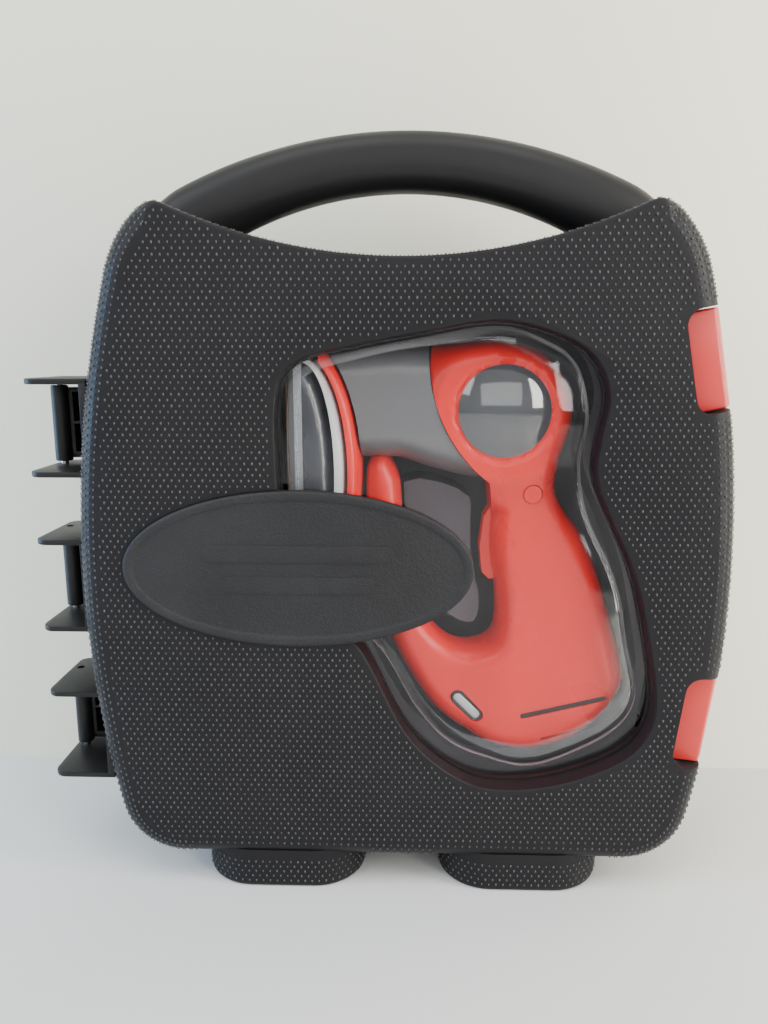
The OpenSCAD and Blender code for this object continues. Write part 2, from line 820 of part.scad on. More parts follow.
module motor_can() {
    color(steel) placed() {
        along_x(can_x0, can_x1, motor_z) difference() { circle(can_r); circle(can_r - 1.5); }
        along_x(can_x0, can_x0 + 1.5, motor_z) difference() { circle(can_r - 1.5); circle(5); }
        along_x(can_x1 - 1.5, can_x1, motor_z) difference() { circle(can_r - 1.5); circle(5); }
    }
}

module motor_bearings() {
    color("#a98348") placed() for (x = [can_x0, can_x1 - 3])
        along_x(x, x + 3, motor_z) difference() { circle(5); circle(shaft_r + run_fit); }
}

module motor_rotor() {
    color("#8a5a34") placed() {
        along_x(can_x0 - 13, can_x1 + 2, motor_z) circle(shaft_r);
        along_x(14, 38, motor_z) difference() {
            circle(12);
            for (k = [0 : 5]) rotate(k * 60) translate([11, 0]) square([8, 1.6], center = true);
            circle(shaft_r);
        }
        along_x(39, 44, motor_z) difference() { circle(5); circle(shaft_r); }
    }
}

module cooling_fan() {
    color("#26272a") placed() along_x(5, 11, motor_z) difference() {
        union() {
            circle(4.5);
            for (k = [0 : 7]) rotate(k * 45) translate([3, -0.6]) square([12, 1.2]);
        }
        circle(shaft_r);
    }
}

// ---- gears ----

output_z = motor_z - gear_m * (pinion_n + output_n) / 2;
pressure = 20;

// Involute spur gear outline with its tooth space thinned by the backlash
function involute(rb, r) =
    let (t = sqrt(max(r * r / (rb * rb) - 1, 0))) t * 180 / PI - atan(t);
function tooth(n, backlash, k) =
    let (rp = gear_m * n / 2, rb = rp * cos(pressure), rr = rp - 1.25 * gear_m,
         ra = rp + 0.9 * gear_m, half = 90 / n - backlash / rp * 90 / PI + involute(rb, rp),
         base = max(rb, rr))
    concat([[rr, -half]],
        [for (i = [0 : 3]) let (r = base + (ra - base) * i / 3) [r, -half + involute(rb, r)]],
        [for (i = [3 : -1 : 0]) let (r = base + (ra - base) * i / 3) [r, half - involute(rb, r)]],
        [[rr, half]]);
function gear_outline(n, backlash, turn) =
    [for (k = [0 : n - 1], q = tooth(n, backlash, k))
        q[0] * [cos(q[1] + turn + k * 360 / n), sin(q[1] + turn + k * 360 / n)]];

module drive_pinion() {
    color(steel) placed() along_x(-12, -5, motor_z) difference() {
        polygon(gear_outline(pinion_n, 0.12, 0));
        circle(shaft_r);
    }
}

module output_gear() {
    color(steel) placed() along_x(-12, -6, output_z) difference() {
        polygon(gear_outline(output_n, 0.12, 180 + 180 / output_n));
        circle(out_shaft_r);
    }
}

module gearbox_plate() {
    color("#7a7c80") placed() along_x(-4, -2, motor_z) difference() {
        translate([-20, -20]) square([40, 40]);
        circle(6);
    }
}

out_shaft_r = 3;
eccentric_r = 8;

module output_shaft() {
    color(steel) placed() {
        along_x(-45, -5, output_z) circle(out_shaft_r);
        along_x(-54, -45, output_z) translate([0, throw]) circle(out_shaft_r);
    }
}

module output_bearings() {
    color("#a98348") placed() for (x = [-28.5, -19.5])
        along_x(x, x + 3.5, output_z) difference() { circle(bearing_r); circle(out_shaft_r + run_fit); }
}

module eccentric_weight() {
    color("#6c6e72") placed() along_x(-43, -40, output_z) difference() {
        intersection() { circle(4.8); translate([-10, -10]) square([20, 14]); }
        circle(out_shaft_r);
    }
}

module eccentric_bearing() {
    color(steel) placed() along_x(-54, -49, output_z) translate([0, throw]) difference() {
        circle(eccentric_r);
        circle(out_shaft_r);
    }
}

base_shell();
lid_shell();
tool_tray();
tray_screws();
window_blister();
window_retainer();
badge_plate();
handle_front();
handle_rear();
upper_hinge_fins();
middle_hinge_fins();
lower_hinge_fins();
upper_knuckle();
middle_knuckle();
lower_knuckle();
hinge_pins();
upper_latch();
lower_latch();
latch_pins();
grip_shell_front();
grip_shell_rear();
motor_housing_front();
motor_housing_rear();
side_dome_front();
side_dome_rear();
head_collar();
trim_band();
head_shell_front();
head_shell_rear();
platen();
platen_pad();
abrasive_sheet();
trigger();
trigger_pin();
trigger_spring();
switch_block();
lock_button();
indicator_lens();
battery_cells();
charge_socket();
body_screws();
motor_can();
motor_bearings();
motor_rotor();
cooling_fan();
drive_pinion();
gearbox_plate();
output_gear();
output_shaft();
output_bearings();
eccentric_weight();
eccentric_bearing();
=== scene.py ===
import math

import bmesh
import bpy
import numpy as np
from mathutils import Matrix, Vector
from mathutils.geometry import delaunay_2d_cdt


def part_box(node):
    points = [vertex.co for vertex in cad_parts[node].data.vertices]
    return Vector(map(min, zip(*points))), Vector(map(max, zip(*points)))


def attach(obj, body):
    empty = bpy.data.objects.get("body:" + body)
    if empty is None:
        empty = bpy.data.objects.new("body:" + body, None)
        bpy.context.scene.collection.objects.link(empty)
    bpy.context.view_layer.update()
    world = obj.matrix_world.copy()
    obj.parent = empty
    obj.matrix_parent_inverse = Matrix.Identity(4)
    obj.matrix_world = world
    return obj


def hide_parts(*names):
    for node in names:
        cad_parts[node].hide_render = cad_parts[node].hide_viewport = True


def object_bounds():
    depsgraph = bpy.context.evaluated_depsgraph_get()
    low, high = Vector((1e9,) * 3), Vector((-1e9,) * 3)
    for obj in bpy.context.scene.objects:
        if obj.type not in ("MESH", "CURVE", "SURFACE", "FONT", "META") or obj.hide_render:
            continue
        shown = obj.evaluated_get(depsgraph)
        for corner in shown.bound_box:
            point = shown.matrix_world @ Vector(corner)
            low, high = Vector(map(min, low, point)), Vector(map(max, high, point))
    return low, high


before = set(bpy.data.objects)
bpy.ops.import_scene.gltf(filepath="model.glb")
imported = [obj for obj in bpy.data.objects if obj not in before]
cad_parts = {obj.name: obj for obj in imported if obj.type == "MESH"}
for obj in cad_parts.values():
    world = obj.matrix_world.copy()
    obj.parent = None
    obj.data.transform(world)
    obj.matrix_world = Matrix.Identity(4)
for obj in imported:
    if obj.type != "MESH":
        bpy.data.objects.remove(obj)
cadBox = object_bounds()
scene = bpy.context.scene

# Lengths below are millimetres in the case's own frame: x from the middle of the case, y to the back, z up
mm = 0.001
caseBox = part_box("base_shell")
caseMiddle = (caseBox[0].x + caseBox[1].x) / 2 / mm
halfWidth = (caseBox[1].x - caseBox[0].x) / 2 / mm
lidFace = -48.0
print("frame loaded: case middle at", round(caseMiddle, 2), "mm, half width", round(halfWidth, 2), "mm")


# small tools

def linkPiece(name, mesh, finish=None):
    piece = bpy.data.objects.new(name, mesh)
    scene.collection.objects.link(piece)
    if finish:
        mesh.materials.clear()
        mesh.materials.append(finish)
    return piece


def shadeByAngle(mesh, degrees):
    mesh.shade_smooth()
    mesh.set_sharp_from_angle(angle=math.radians(degrees))


def buildMesh(name, verts, faces, finish=None, degrees=35, turnOut=True):
    # verts are case millimetres, the mesh is metres in the shared frame
    mesh = bpy.data.meshes.new(name)
    mesh.from_pydata([((x + caseMiddle) * mm, y * mm, z * mm) for x, y, z in verts], [], faces)
    if turnOut:
        work = bmesh.new()
        work.from_mesh(mesh)
        bmesh.ops.recalc_face_normals(work, faces=work.faces)
        work.to_mesh(mesh)
        work.free()
    mesh.update()
    shadeByAngle(mesh, degrees)
    return linkPiece(name, mesh, finish)


def ringSolid(name, rings, finish=None, degrees=35):
    # closed solid through rings of equal length, with a flat cap at each end
    count = len(rings[0])
    verts = [p for ring in rings for p in ring]
    faces = [list(range(count))]
    for k in range(len(rings) - 1):
        a, b = k * count, (k + 1) * count
        faces += [[a + i, a + (i + 1) % count, b + (i + 1) % count, b + i] for i in range(count)]
    last = (len(rings) - 1) * count
    faces.append([last + i for i in reversed(range(count))])
    return buildMesh(name, verts, faces, finish, degrees)


def discRings(at, steps, count=48):
    # rings about a y axis; a step is a radius and a depth
    return [[(at[0] + r * math.cos(a), y, at[1] + r * math.sin(a)) for a in np.arange(count) * 2 * math.pi / count]
            for r, y in steps]


def bakeModifiers(piece, degrees=35):
    # turns the evaluated shape into the piece's own plain mesh
    graph = bpy.context.evaluated_depsgraph_get()
    mesh = bpy.data.meshes.new_from_object(piece.evaluated_get(graph))
    old = piece.data
    piece.modifiers.clear()
    piece.data = mesh
    mesh.name = piece.name
    bpy.data.meshes.remove(old)
    shadeByAngle(mesh, degrees)
    return piece


def carve(piece, cutter, operation="DIFFERENCE", degrees=35):
    step = piece.modifiers.new("carve", "BOOLEAN")
    step.operation = operation
    step.solver = "EXACT"
    step.object = cutter
    bakeModifiers(piece, degrees)
    bpy.data.objects.remove(cutter)
    return piece


def joinPieces(name, parts):
    # several solids as one mesh
    work = bmesh.new()
    materials = []
    for part in parts:
        own = list(part.data.materials)
        materials += [m for m in own if m not in materials]
        start = len(work.faces)
        work.from_mesh(part.data)
        work.faces.ensure_lookup_table()
        for face in work.faces[start:]:
            face.material_index = materials.index(own[face.material_index]) if own else 0
    mesh = bpy.data.meshes.new(name)
    work.to_mesh(mesh)
    work.free()
    for m in materials:
        mesh.materials.append(m)
    for part in parts:
        bpy.data.objects.remove(part)
    shadeByAngle(mesh, 35)
    return linkPiece(name, mesh)


def softenEdges(piece, width, segments=2, angle=30):
    step = piece.modifiers.new("soften", "BEVEL")
    step.width = width * mm
    step.segments = segments
    step.limit_method = "ANGLE"
    step.angle_limit = math.radians(angle)
    return bakeModifiers(piece, 40)


def splinePoints(corners, steps):
    # points of a smooth curve from b to c, for each run of four corners a, b, c, d
    out = []
    for a, b, c, d in corners:
        for k in range(steps):
            t = k / steps
            out.append(0.5 * (2 * b + (c - a) * t + (2 * a - 5 * b + 4 * c - d) * t * t
                              + (3 * b - a - 3 * c + d) * t ** 3))
    return out


def smoothCurve(points, steps):
    # closed curve through the points
    p = np.array(points, float)
    return np.array(splinePoints(zip(np.roll(p, 1, 0), p, np.roll(p, -1, 0), np.roll(p, -2, 0)), steps))


def openCurve(points, steps):
    p = np.array(points, float)
    q = np.vstack([p[:1], p, p[-1:]])
    return np.array(splinePoints(zip(q[:-3], q[1:-2], q[2:-1], q[3:]), steps) + [p[-1]])


def evenly(points, spacing):
    # the closed line again, with points about a spacing apart
    p = np.vstack([points, points[:1]])
    along = np.concatenate([[0], np.cumsum(np.linalg.norm(np.diff(p, axis=0), axis=1))])
    count = max(3, int(round(along[-1] / spacing)))
    at = np.arange(count) * along[-1] / count
    return np.column_stack([np.interp(at, along, p[:, 0]), np.interp(at, along, p[:, 1])])


def offsetCurve(points, d):
    # closed line moved by d along its outward normals; the points run clockwise
    p = np.array(points, float)
    before, after = p - np.roll(p, 1, 0), np.roll(p, -1, 0) - p
    u = before / np.linalg.norm(before, axis=1)[:, None]
    v = after / np.linalg.norm(after, axis=1)[:, None]
    m = u + v
    m /= np.linalg.norm(m, axis=1)[:, None]
    d = np.broadcast_to(d, len(p))
    return p + (d / np.sum(m * u, 1))[:, None] * np.column_stack([-m[:, 1], m[:, 0]])


def inside(polygon, points):
    # even-odd test of many points
    poly, pts = np.asarray(polygon), np.asarray(points)
    x, z = pts[:, 0], pts[:, 1]
    result = np.zeros(len(pts), bool)
    for (x1, z1), (x2, z2) in zip(poly, np.roll(poly, -1, 0)):
        if z1 == z2:
            continue
        crosses = (z1 > z) != (z2 > z)
        result ^= crosses & (x < (x2 - x1) * (z - z1) / (z2 - z1) + x1)
    return result


def distanceTo(lines, points):
    # shortest distance from each point to a set of polylines
    pts = np.asarray(points, float)
    best = np.full(len(pts), 1e9)
    for line in lines:
        for a, b in zip(line[:-1], line[1:]):
            d = np.asarray(b) - np.asarray(a)
            t = np.clip(((pts - a) @ d) / max(d @ d, 1e-12), 0, 1)
            best = np.minimum(best, np.linalg.norm(pts - (a + t[:, None] * d), axis=1))
    return best


def closed(points):
    return np.vstack([points, points[:1]])


def ramp(x, low, high):
    t = np.clip((np.asarray(x, float) - low) / (high - low), 0, 1)
    return t * t * (3 - 2 * t)


# shader groups

def startGroup(name, inputs, outputs):
    tree = bpy.data.node_groups.new(name, "ShaderNodeTree")
    for label, kind, value in inputs:
        socket = tree.interface.new_socket(label, in_out="INPUT", socket_type=kind)
        if value is not None:
            socket.default_value = value
    for label, kind in outputs:
        tree.interface.new_socket(label, in_out="OUTPUT", socket_type=kind)
    return tree, tree.nodes.new("NodeGroupInput"), tree.nodes.new("NodeGroupOutput")


def feed(tree, socket, value):
    # links a socket to another one, or gives it a plain value or a colour
    if isinstance(value, bpy.types.NodeSocket):
        tree.links.new(value, socket)
    elif isinstance(value, tuple) and socket.type == "RGBA":
        socket.default_value = (*value, 1)
    else:
        socket.default_value = value


def addNoise(tree, vector, scale, detail=3.0, roughness=0.55):
    node = tree.nodes.new("ShaderNodeTexNoise")
    for label, value in (("Vector", vector), ("Scale", scale), ("Detail", detail), ("Roughness", roughness)):
        feed(tree, node.inputs[label], value)
    return node.outputs["Fac"]


def addMath(tree, operation, a, b=0.0, clamp=False):
    node = tree.nodes.new("ShaderNodeMath")
    node.operation = operation
    node.use_clamp = clamp
    feed(tree, node.inputs[0], a)
    feed(tree, node.inputs[1], b)
    return node.outputs[0]


def addRange(tree, value, low, high, toLow, toHigh):
    node = tree.nodes.new("ShaderNodeMapRange")
    node.clamp = True
    for label, v in (("Value", value), ("From Min", low), ("From Max", high), ("To Min", toLow), ("To Max", toHigh)):
        feed(tree, node.inputs[label], v)
    return node.outputs["Result"]


def addMix(tree, factor, a, b):
    node = tree.nodes.new("ShaderNodeMix")
    node.data_type = "RGBA"
    for index, value in ((0, factor), (6, a), (7, b)):
        feed(tree, node.inputs[index], value)
    return node.outputs[2]


def mouldedGrainGroup():
    # spark-eroded grain of a moulded surface, and the slow waves of its skin
    tree, entry, leave = startGroup("mouldedGrain", [
        ("Vector", "NodeSocketVector", None), ("Grain Scale", "NodeSocketFloat", 2600.0),
        ("Wave Scale", "NodeSocketFloat", 22.0), ("Wave Share", "NodeSocketFloat", 0.3)],
        [("Height", "NodeSocketFloat"), ("Patch", "NodeSocketFloat")])
    grain = addNoise(tree, entry.outputs["Vector"], entry.outputs["Grain Scale"], 2.0, 0.6)
    wave = addNoise(tree, entry.outputs["Vector"], entry.outputs["Wave Scale"], 2.0, 0.5)
    both = addMath(tree, "ADD", grain, addMath(tree, "MULTIPLY", wave, entry.outputs["Wave Share"]))
    tree.links.new(both, leave.inputs["Height"])
    tree.links.new(addRange(tree, wave, 0.3, 0.7, 0.0, 1.0), leave.inputs["Patch"])
    return tree


def handledSkinGroup():
    # dust in small flecks and duller handled patches over a base colour
    tree, entry, leave = startGroup("handledSkin", [
        ("Vector", "NodeSocketVector", None), ("Base", "NodeSocketColor", (0.02, 0.02, 0.02, 1)),
        ("Dust", "NodeSocketColor", (0.3, 0.29, 0.27, 1)), ("Dust Amount", "NodeSocketFloat", 0.1),
        ("Patch", "NodeSocketFloat", 0.5), ("Smooth", "NodeSocketFloat", 0.35), ("Dull", "NodeSocketFloat", 0.5)],
        [("Color", "NodeSocketColor"), ("Roughness", "NodeSocketFloat")])
    fleck = addRange(tree, addNoise(tree, entry.outputs["Vector"], 900.0, 2.0, 0.7), 0.62, 0.74, 0.0, 1.0)
    cloud = addNoise(tree, entry.outputs["Vector"], 14.0, 4.0, 0.6)
    dust = addMath(tree, "MULTIPLY", addMath(tree, "ADD", fleck, cloud), entry.outputs["Dust Amount"], True)
    tree.links.new(addMix(tree, dust, entry.outputs["Base"], entry.outputs["Dust"]), leave.inputs["Color"])
    shine = addRange(tree, entry.outputs["Patch"], 0.0, 1.0, entry.outputs["Smooth"], entry.outputs["Dull"])
    rough = addMath(tree, "ADD", shine, addMath(tree, "MULTIPLY", fleck, 0.12), True)
    tree.links.new(rough, leave.inputs["Roughness"])
    return tree


def drawnLinesGroup():
    # fine lines left by turning, drawing or brushing a metal
    tree, entry, leave = startGroup("drawnLines", [
        ("Vector", "NodeSocketVector", None), ("Stretch", "NodeSocketVector", (40.0, 1500.0, 1500.0))],
        [("Height", "NodeSocketFloat"), ("Tone", "NodeSocketFloat")])
    scaled = tree.nodes.new("ShaderNodeVectorMath")
    scaled.operation = "MULTIPLY"
    tree.links.new(entry.outputs["Vector"], scaled.inputs[0])
    tree.links.new(entry.outputs["Stretch"], scaled.inputs[1])
    lines = addNoise(tree, scaled.outputs[0], 1.0, 3.0, 0.6)
    tree.links.new(lines, leave.inputs["Height"])
    tree.links.new(addRange(tree, lines, 0.3, 0.7, 0.0, 1.0), leave.inputs["Tone"])
    return tree


mouldedGrain = mouldedGrainGroup()
handledSkin = handledSkinGroup()
drawnLines = drawnLinesGroup()


def startMaterial(name):
    material = bpy.data.materials.new(name)
    material.use_nodes = True
    tree = material.node_tree
    shader = tree.nodes["Principled BSDF"]
    place = tree.nodes.new("ShaderNodeTexCoord").outputs["Object"]
    return material, tree, shader, place


def useGroup(tree, group, **values):
    node = tree.nodes.new("ShaderNodeGroup")
    node.node_tree = group
    for label, value in values.items():
        feed(tree, node.inputs[label.replace("_", " ")], value)
    return node


def addBump(tree, shader, height, distance, strength=1.0):
    bump = tree.nodes.new("ShaderNodeBump")
    bump.inputs["Distance"].default_value = distance
    bump.inputs["Strength"].default_value = strength
    tree.links.new(height, bump.inputs["Height"])
    tree.links.new(bump.outputs["Normal"], shader.inputs["Normal"])
    return bump


def plasticFinish(name, colour, smooth=0.35, dull=0.5, dust=(0.3, 0.29, 0.27), dusty=0.05, grain=2600.0,
                  depth=0.00004, wave=22.0, waveShare=0.3, coat=0.0, gloss=0.5):
    material, tree, shader, place = startMaterial(name)
    skin = useGroup(tree, mouldedGrain, Vector=place, Grain_Scale=grain, Wave_Scale=wave, Wave_Share=waveShare)
    worn = useGroup(tree, handledSkin, Vector=place, Base=colour, Dust=dust, Dust_Amount=dusty,
                    Patch=skin.outputs["Patch"], Smooth=smooth, Dull=dull)
    tree.links.new(worn.outputs["Color"], shader.inputs["Base Color"])
    tree.links.new(worn.outputs["Roughness"], shader.inputs["Roughness"])
    shader.inputs["Coat Weight"].default_value = coat
    shader.inputs["Coat Roughness"].default_value = 0.08
    shader.inputs["Specular IOR Level"].default_value = gloss
    addBump(tree, shader, skin.outputs["Height"], depth)
    return material


def metalFinish(name, colour, darker, smooth=0.22, dull=0.4, stretch=(1500.0, 60.0, 1500.0), depth=0.00002):
    material, tree, shader, place = startMaterial(name)
    lines = useGroup(tree, drawnLines, Vector=place, Stretch=stretch)
    tree.links.new(addMix(tree, lines.outputs["Tone"], darker, colour), shader.inputs["Base Color"])
    tree.links.new(addRange(tree, lines.outputs["Tone"], 0.0, 1.0, dull, smooth), shader.inputs["Roughness"])
    shader.inputs["Metallic"].default_value = 1.0
    addBump(tree, shader, lines.outputs["Height"], depth)
    return material


def clearFinish(name, tint, haze, wallHazeAndSheen, gloss, rough, mirrored=1.0):
    # thin clear sheet: it lets light straight through, mirrors by its angle and is milky where it was stretched; on
    # its steep walls a painted whitish sheen is added, stronger where a wall faces up
    material, tree, shader, place = startMaterial(name)
    skin = useGroup(tree, mouldedGrain, Vector=place, Grain_Scale=240.0, Wave_Scale=34.0, Wave_Share=1.5)
    fresnel = tree.nodes.new("ShaderNodeFresnel")
    fresnel.inputs["IOR"].default_value = gloss
    patch = addRange(tree, skin.outputs["Patch"], 0.0, 1.0, haze * 0.7, haze * 1.3)
    facing = tree.nodes.new("ShaderNodeSeparateXYZ")
    tree.links.new(place.node.outputs["Normal"], facing.inputs[0])
    # painted sheen: steep walls get a whitish layer in place of the light they reflect, thicker where a wall faces up
    steep = addRange(tree, addMath(tree, "ABSOLUTE", facing.outputs["Y"]), 0.35, 0.93, 1.0, 0.0)
    upward = addRange(tree, facing.outputs["Z"], -0.5, 0.2, 0.25, 1.0)
    hazeAndPaintedSheen = addMath(tree, "MULTIPLY", addMath(tree, "MULTIPLY", steep, upward), wallHazeAndSheen)
    patch = addMath(tree, "ADD", patch, hazeAndPaintedSheen)
    mirror = addMath(tree, "MINIMUM", addMath(tree, "MULTIPLY", fresnel.outputs[0], mirrored), 0.16)
    alpha = addMath(tree, "ADD", mirror, patch, True)
    tree.links.new(alpha, shader.inputs["Alpha"])
    tone = addMix(tree, skin.outputs["Patch"], tint, tuple(c * 0.9 for c in tint))
    tree.links.new(tone, shader.inputs["Base Color"])
    tree.links.new(addMath(tree, "SUBTRACT", 1.0, steep), shader.inputs["Metallic"])
    tree.links.new(addMath(tree, "ADD", rough, addMath(tree, "MULTIPLY", steep, 0.1)), shader.inputs["Roughness"])
    addBump(tree, shader, skin.outputs["Height"], 0.00003, 0.4)
    return material


# the dots' colour is lighter than the shell's: partly dust on them, partly a painted highlight on their tops
caseColours = {"shell": (0.0080, 0.0076, 0.0092), "dots": (0.036, 0.036, 0.040), "smooth": (0.0080, 0.0078, 0.0086),
               "badge": (0.0045, 0.0043, 0.0052), "tray": (0.075, 0.070, 0.085)}
toolColours = {"red": (0.68, 0.006, 0.004), "latch": (0.44, 0.007, 0.006), "housing": (0.105, 0.106, 0.116),
               "band": (0.52, 0.53, 0.55), "head": (0.022, 0.024, 0.034), "dome": (0.050, 0.053, 0.060)}

shellPlastic = plasticFinish("shellPlastic", caseColours["shell"], 0.38, 0.50, dusty=0.02, grain=1900.0,
                             depth=0.00005, gloss=0.13)
# painted highlight and dust: the raised dots are a lighter grey than the shell
dotDustAndHighlight = plasticFinish("dotDustAndHighlight", caseColours["dots"], 0.34, 0.46, dusty=0.03, grain=1900.0,
                           depth=0.00002, gloss=0.35)
smoothPlastic = plasticFinish("smoothPlastic", caseColours["smooth"], 0.36, 0.48, dusty=0.015, grain=2400.0,
                              depth=0.00003, gloss=0.22)
badgePlastic = plasticFinish("badgePlastic", caseColours["badge"], 0.46, 0.56, dust=(0.34, 0.34, 0.36),
                             dusty=0.05, grain=950.0, depth=0.00050, gloss=0.25)
trayPlastic = plasticFinish("trayPlastic", caseColours["tray"], 0.45, 0.6, dusty=0.05, grain=900.0, depth=0.00008)
latchPlastic = plasticFinish("latchPlastic", toolColours["latch"], 0.26, 0.42, dust=(0.75, 0.45, 0.42), dusty=0.06,
                             grain=700.0, depth=0.00004)
toolRed = plasticFinish("toolRed", toolColours["red"], 0.24, 0.36, dust=(0.8, 0.35, 0.3), dusty=0.03, grain=2200.0,
                        depth=0.00003, coat=0.05, gloss=0.38)
housingPlastic = plasticFinish("housingPlastic", toolColours["housing"], 0.26, 0.4, dusty=0.03, grain=1800.0,
                               depth=0.00001, coat=0.2)
bandPlastic = plasticFinish("bandPlastic", toolColours["band"], 0.20, 0.32, dusty=0.03, grain=1500.0,
                            depth=0.00001, coat=0.3)
headPlastic = plasticFinish("headPlastic", toolColours["head"], 0.20, 0.32, dusty=0.02, grain=1500.0,
                            depth=0.00001, coat=0.3)
domeGloss = plasticFinish("domeGloss", toolColours["dome"], 0.03, 0.06, dusty=0.004, grain=60.0, depth=0.00001,
                          waveShare=1.0, coat=1.0, gloss=0.8)
darkPlastic = plasticFinish("darkPlastic", (0.012, 0.012, 0.013), 0.3, 0.45, dusty=0.02)
slotDark = plasticFinish("slotDark", (0.008, 0.006, 0.006), 0.5, 0.7, dusty=0.02)
clearSheet = clearFinish("clearSheet", (0.86, 0.87, 0.90), 0.001, 0.085, 1.45, 0.04, 0.5)
lensSilver = plasticFinish("lensSilver", (0.36, 0.37, 0.39), 0.10, 0.18, dusty=0.02, grain=500.0, coat=0.8, gloss=0.8)
brightSteel = metalFinish("brightSteel", (0.62, 0.63, 0.65), (0.40, 0.41, 0.43))
turnedSteel = metalFinish("turnedSteel", (0.55, 0.56, 0.58), (0.33, 0.34, 0.36), stretch=(1800.0, 120.0, 120.0))
bearingBronze = metalFinish("bearingBronze", (0.55, 0.36, 0.16), (0.36, 0.22, 0.09))
copperWinding = metalFinish("copperWinding", (0.56, 0.25, 0.12), (0.30, 0.12, 0.05),
                            stretch=(60.0, 2600.0, 2600.0), depth=0.0002)
castZinc = metalFinish("castZinc", (0.38, 0.39, 0.41), (0.26, 0.27, 0.29), 0.4, 0.6, (900.0, 900.0, 900.0), 0.00006)
cellWrap = plasticFinish("cellWrap", (0.035, 0.19, 0.10), 0.15, 0.3, dusty=0.01, grain=300.0, coat=0.6)
switchBlue = plasticFinish("switchBlue", (0.015, 0.05, 0.16), 0.3, 0.45, dusty=0.02)
padFoam = plasticFinish("padFoam", (0.018, 0.018, 0.018), 0.75, 0.9, dusty=0.08, grain=1400.0, depth=0.0003)


def gritFinish():
    # closely packed grains glued to a brown paper
    material, tree, shader, place = startMaterial("sandingGrit")
    cells = tree.nodes.new("ShaderNodeTexVoronoi")
    cells.inputs["Scale"].default_value = 2200.0
    tree.links.new(place, cells.inputs["Vector"])
    grains = addRange(tree, cells.outputs["Distance"], 0.1, 0.7, 1.0, 0.0)
    tone = addMath(tree, "MULTIPLY", grains, addNoise(tree, place, 160.0), True)
    tree.links.new(addMix(tree, tone, (0.075, 0.035, 0.020), (0.30, 0.17, 0.10)), shader.inputs["Base Color"])
    tree.links.new(addRange(tree, grains, 0.0, 1.0, 0.9, 0.55), shader.inputs["Roughness"])
    addBump(tree, shader, grains, 0.0003)
    return material


sandingGrit = gritFinish()
print("materials ready:", len(bpy.data.materials))


# the case's outline

caseShape = {
    "sideRadius": 590.0, "cornerRadius": 60.0, "cornerAt": 15.3, "shoulderRadius": 14.0, "baseRadius": 35.0,
    "topRadius": 276.0, "topZ": 330.0, "bellyZ": 169.0, "footHeight": 18.0, "halfDepth": 48.0, "wall": 2.4,
    "edgeRadius": 12.0, "crispRadius": 1.8, "jointGap": 0.15,
}


footShape = {"at": (-65.0, 65.0), "radius": 27.0, "half": 44.0, "deep": 46.0}
padShape = {"across": (-105.0, 105.0), "up": (70.0, 290.0), "radius": 9.0}
hingeShape = {"axisX": -187.0, "heights": {"upper": 248.5, "middle": 166.0, "lower": 82.0}, "gap": 47.0, "plate": 3.0,
              "tip": 5.0, "front": -35.0, "rear": 15.0, "soften": 0.7}


def sideways(a, ra, b, rb):
    # the point ra from a and rb from b, to the right of the way from a to b
    a, b = np.array(a), np.array(b)
    d = np.linalg.norm(b - a)
    u = (b - a) / d
    s = (ra * ra - rb * rb + d * d) / (2 * d)
    return a + s * u + math.sqrt(ra * ra - s * s) * np.array([u[1], -u[0]])


def bearing(v):
    return math.degrees(math.atan2(v[1], v[0]))


def caseOutline():
    # points, inward normals and edge radii of the shell's outline, clockwise from the top middle
    c = caseShape
    top = np.array([0, c["topZ"] + c["topRadius"]])
    side = np.array([halfWidth - c["sideRadius"], c["bellyZ"]])
    at = math.radians(c["cornerAt"])
    corner = side + (c["sideRadius"] - c["cornerRadius"]) * np.array([math.cos(at), math.sin(at)])
    shoulder = sideways(corner, c["cornerRadius"] - c["shoulderRadius"], top, c["topRadius"] + c["shoulderRadius"])
    low = c["footHeight"] + c["baseRadius"]
    base = np.array([side[0] + math.sqrt((c["sideRadius"] - c["baseRadius"]) ** 2 - (c["bellyZ"] - low) ** 2), low])
    aTop, aShoulder, aBase = bearing(shoulder - top), bearing(shoulder - corner), bearing(base - side)
    crisp, full = c["crispRadius"], c["edgeRadius"]
    arcs = [(top, c["topRadius"], -90, aTop, -1, 22, crisp, crisp),
            (shoulder, c["shoulderRadius"], aTop + 180, aShoulder, 1, 12, crisp, full),
            (corner, c["cornerRadius"], aShoulder, c["cornerAt"], 1, 20, full, full),
            (side, c["sideRadius"], c["cornerAt"], aBase, 1, 26, full, full),
            (base, c["baseRadius"], aBase, -90, 1, 14, full, full)]
    points, normals, radii = [], [], []
    for centre, r, a0, a1, sign, n, r0, r1 in arcs:
        for i in range(n):
            t = i / n
            a = math.radians(a0 + (a1 - a0) * t)
            d = np.array([math.cos(a), math.sin(a)])
            points.append(centre + r * d)
            normals.append(-sign * d)
            radii.append(r0 + (r1 - r0) * float(ramp(t, 0, 0.9)))
    for i in range(8):
        points.append(np.array([base[0] * (1 - i / 7.5), c["footHeight"]]))
        normals.append(np.array([0.0, 1.0]))
        radii.append(full)
    right = [(p, n, r) for p, n, r in zip(points, normals, radii) if p[0] > 0.5]
    left = [(p * [-1, 1], n * [-1, 1], r) for p, n, r in reversed(right)]
    # the two middle points of the top edge and the bottom edge
    middle = [(np.array([0.0, c["topZ"]]), np.array([0.0, -1.0]), crisp)]
    foot = [(np.array([0.0, c["footHeight"]]), np.array([0.0, 1.0]), full)]
    ring = middle + right + foot + left
    return np.array([p for p, n, r in ring]), np.array([n for p, n, r in ring]), np.array([r for p, n, r in ring])


outlinePoints, outlineInward, outlineEdge = caseOutline()


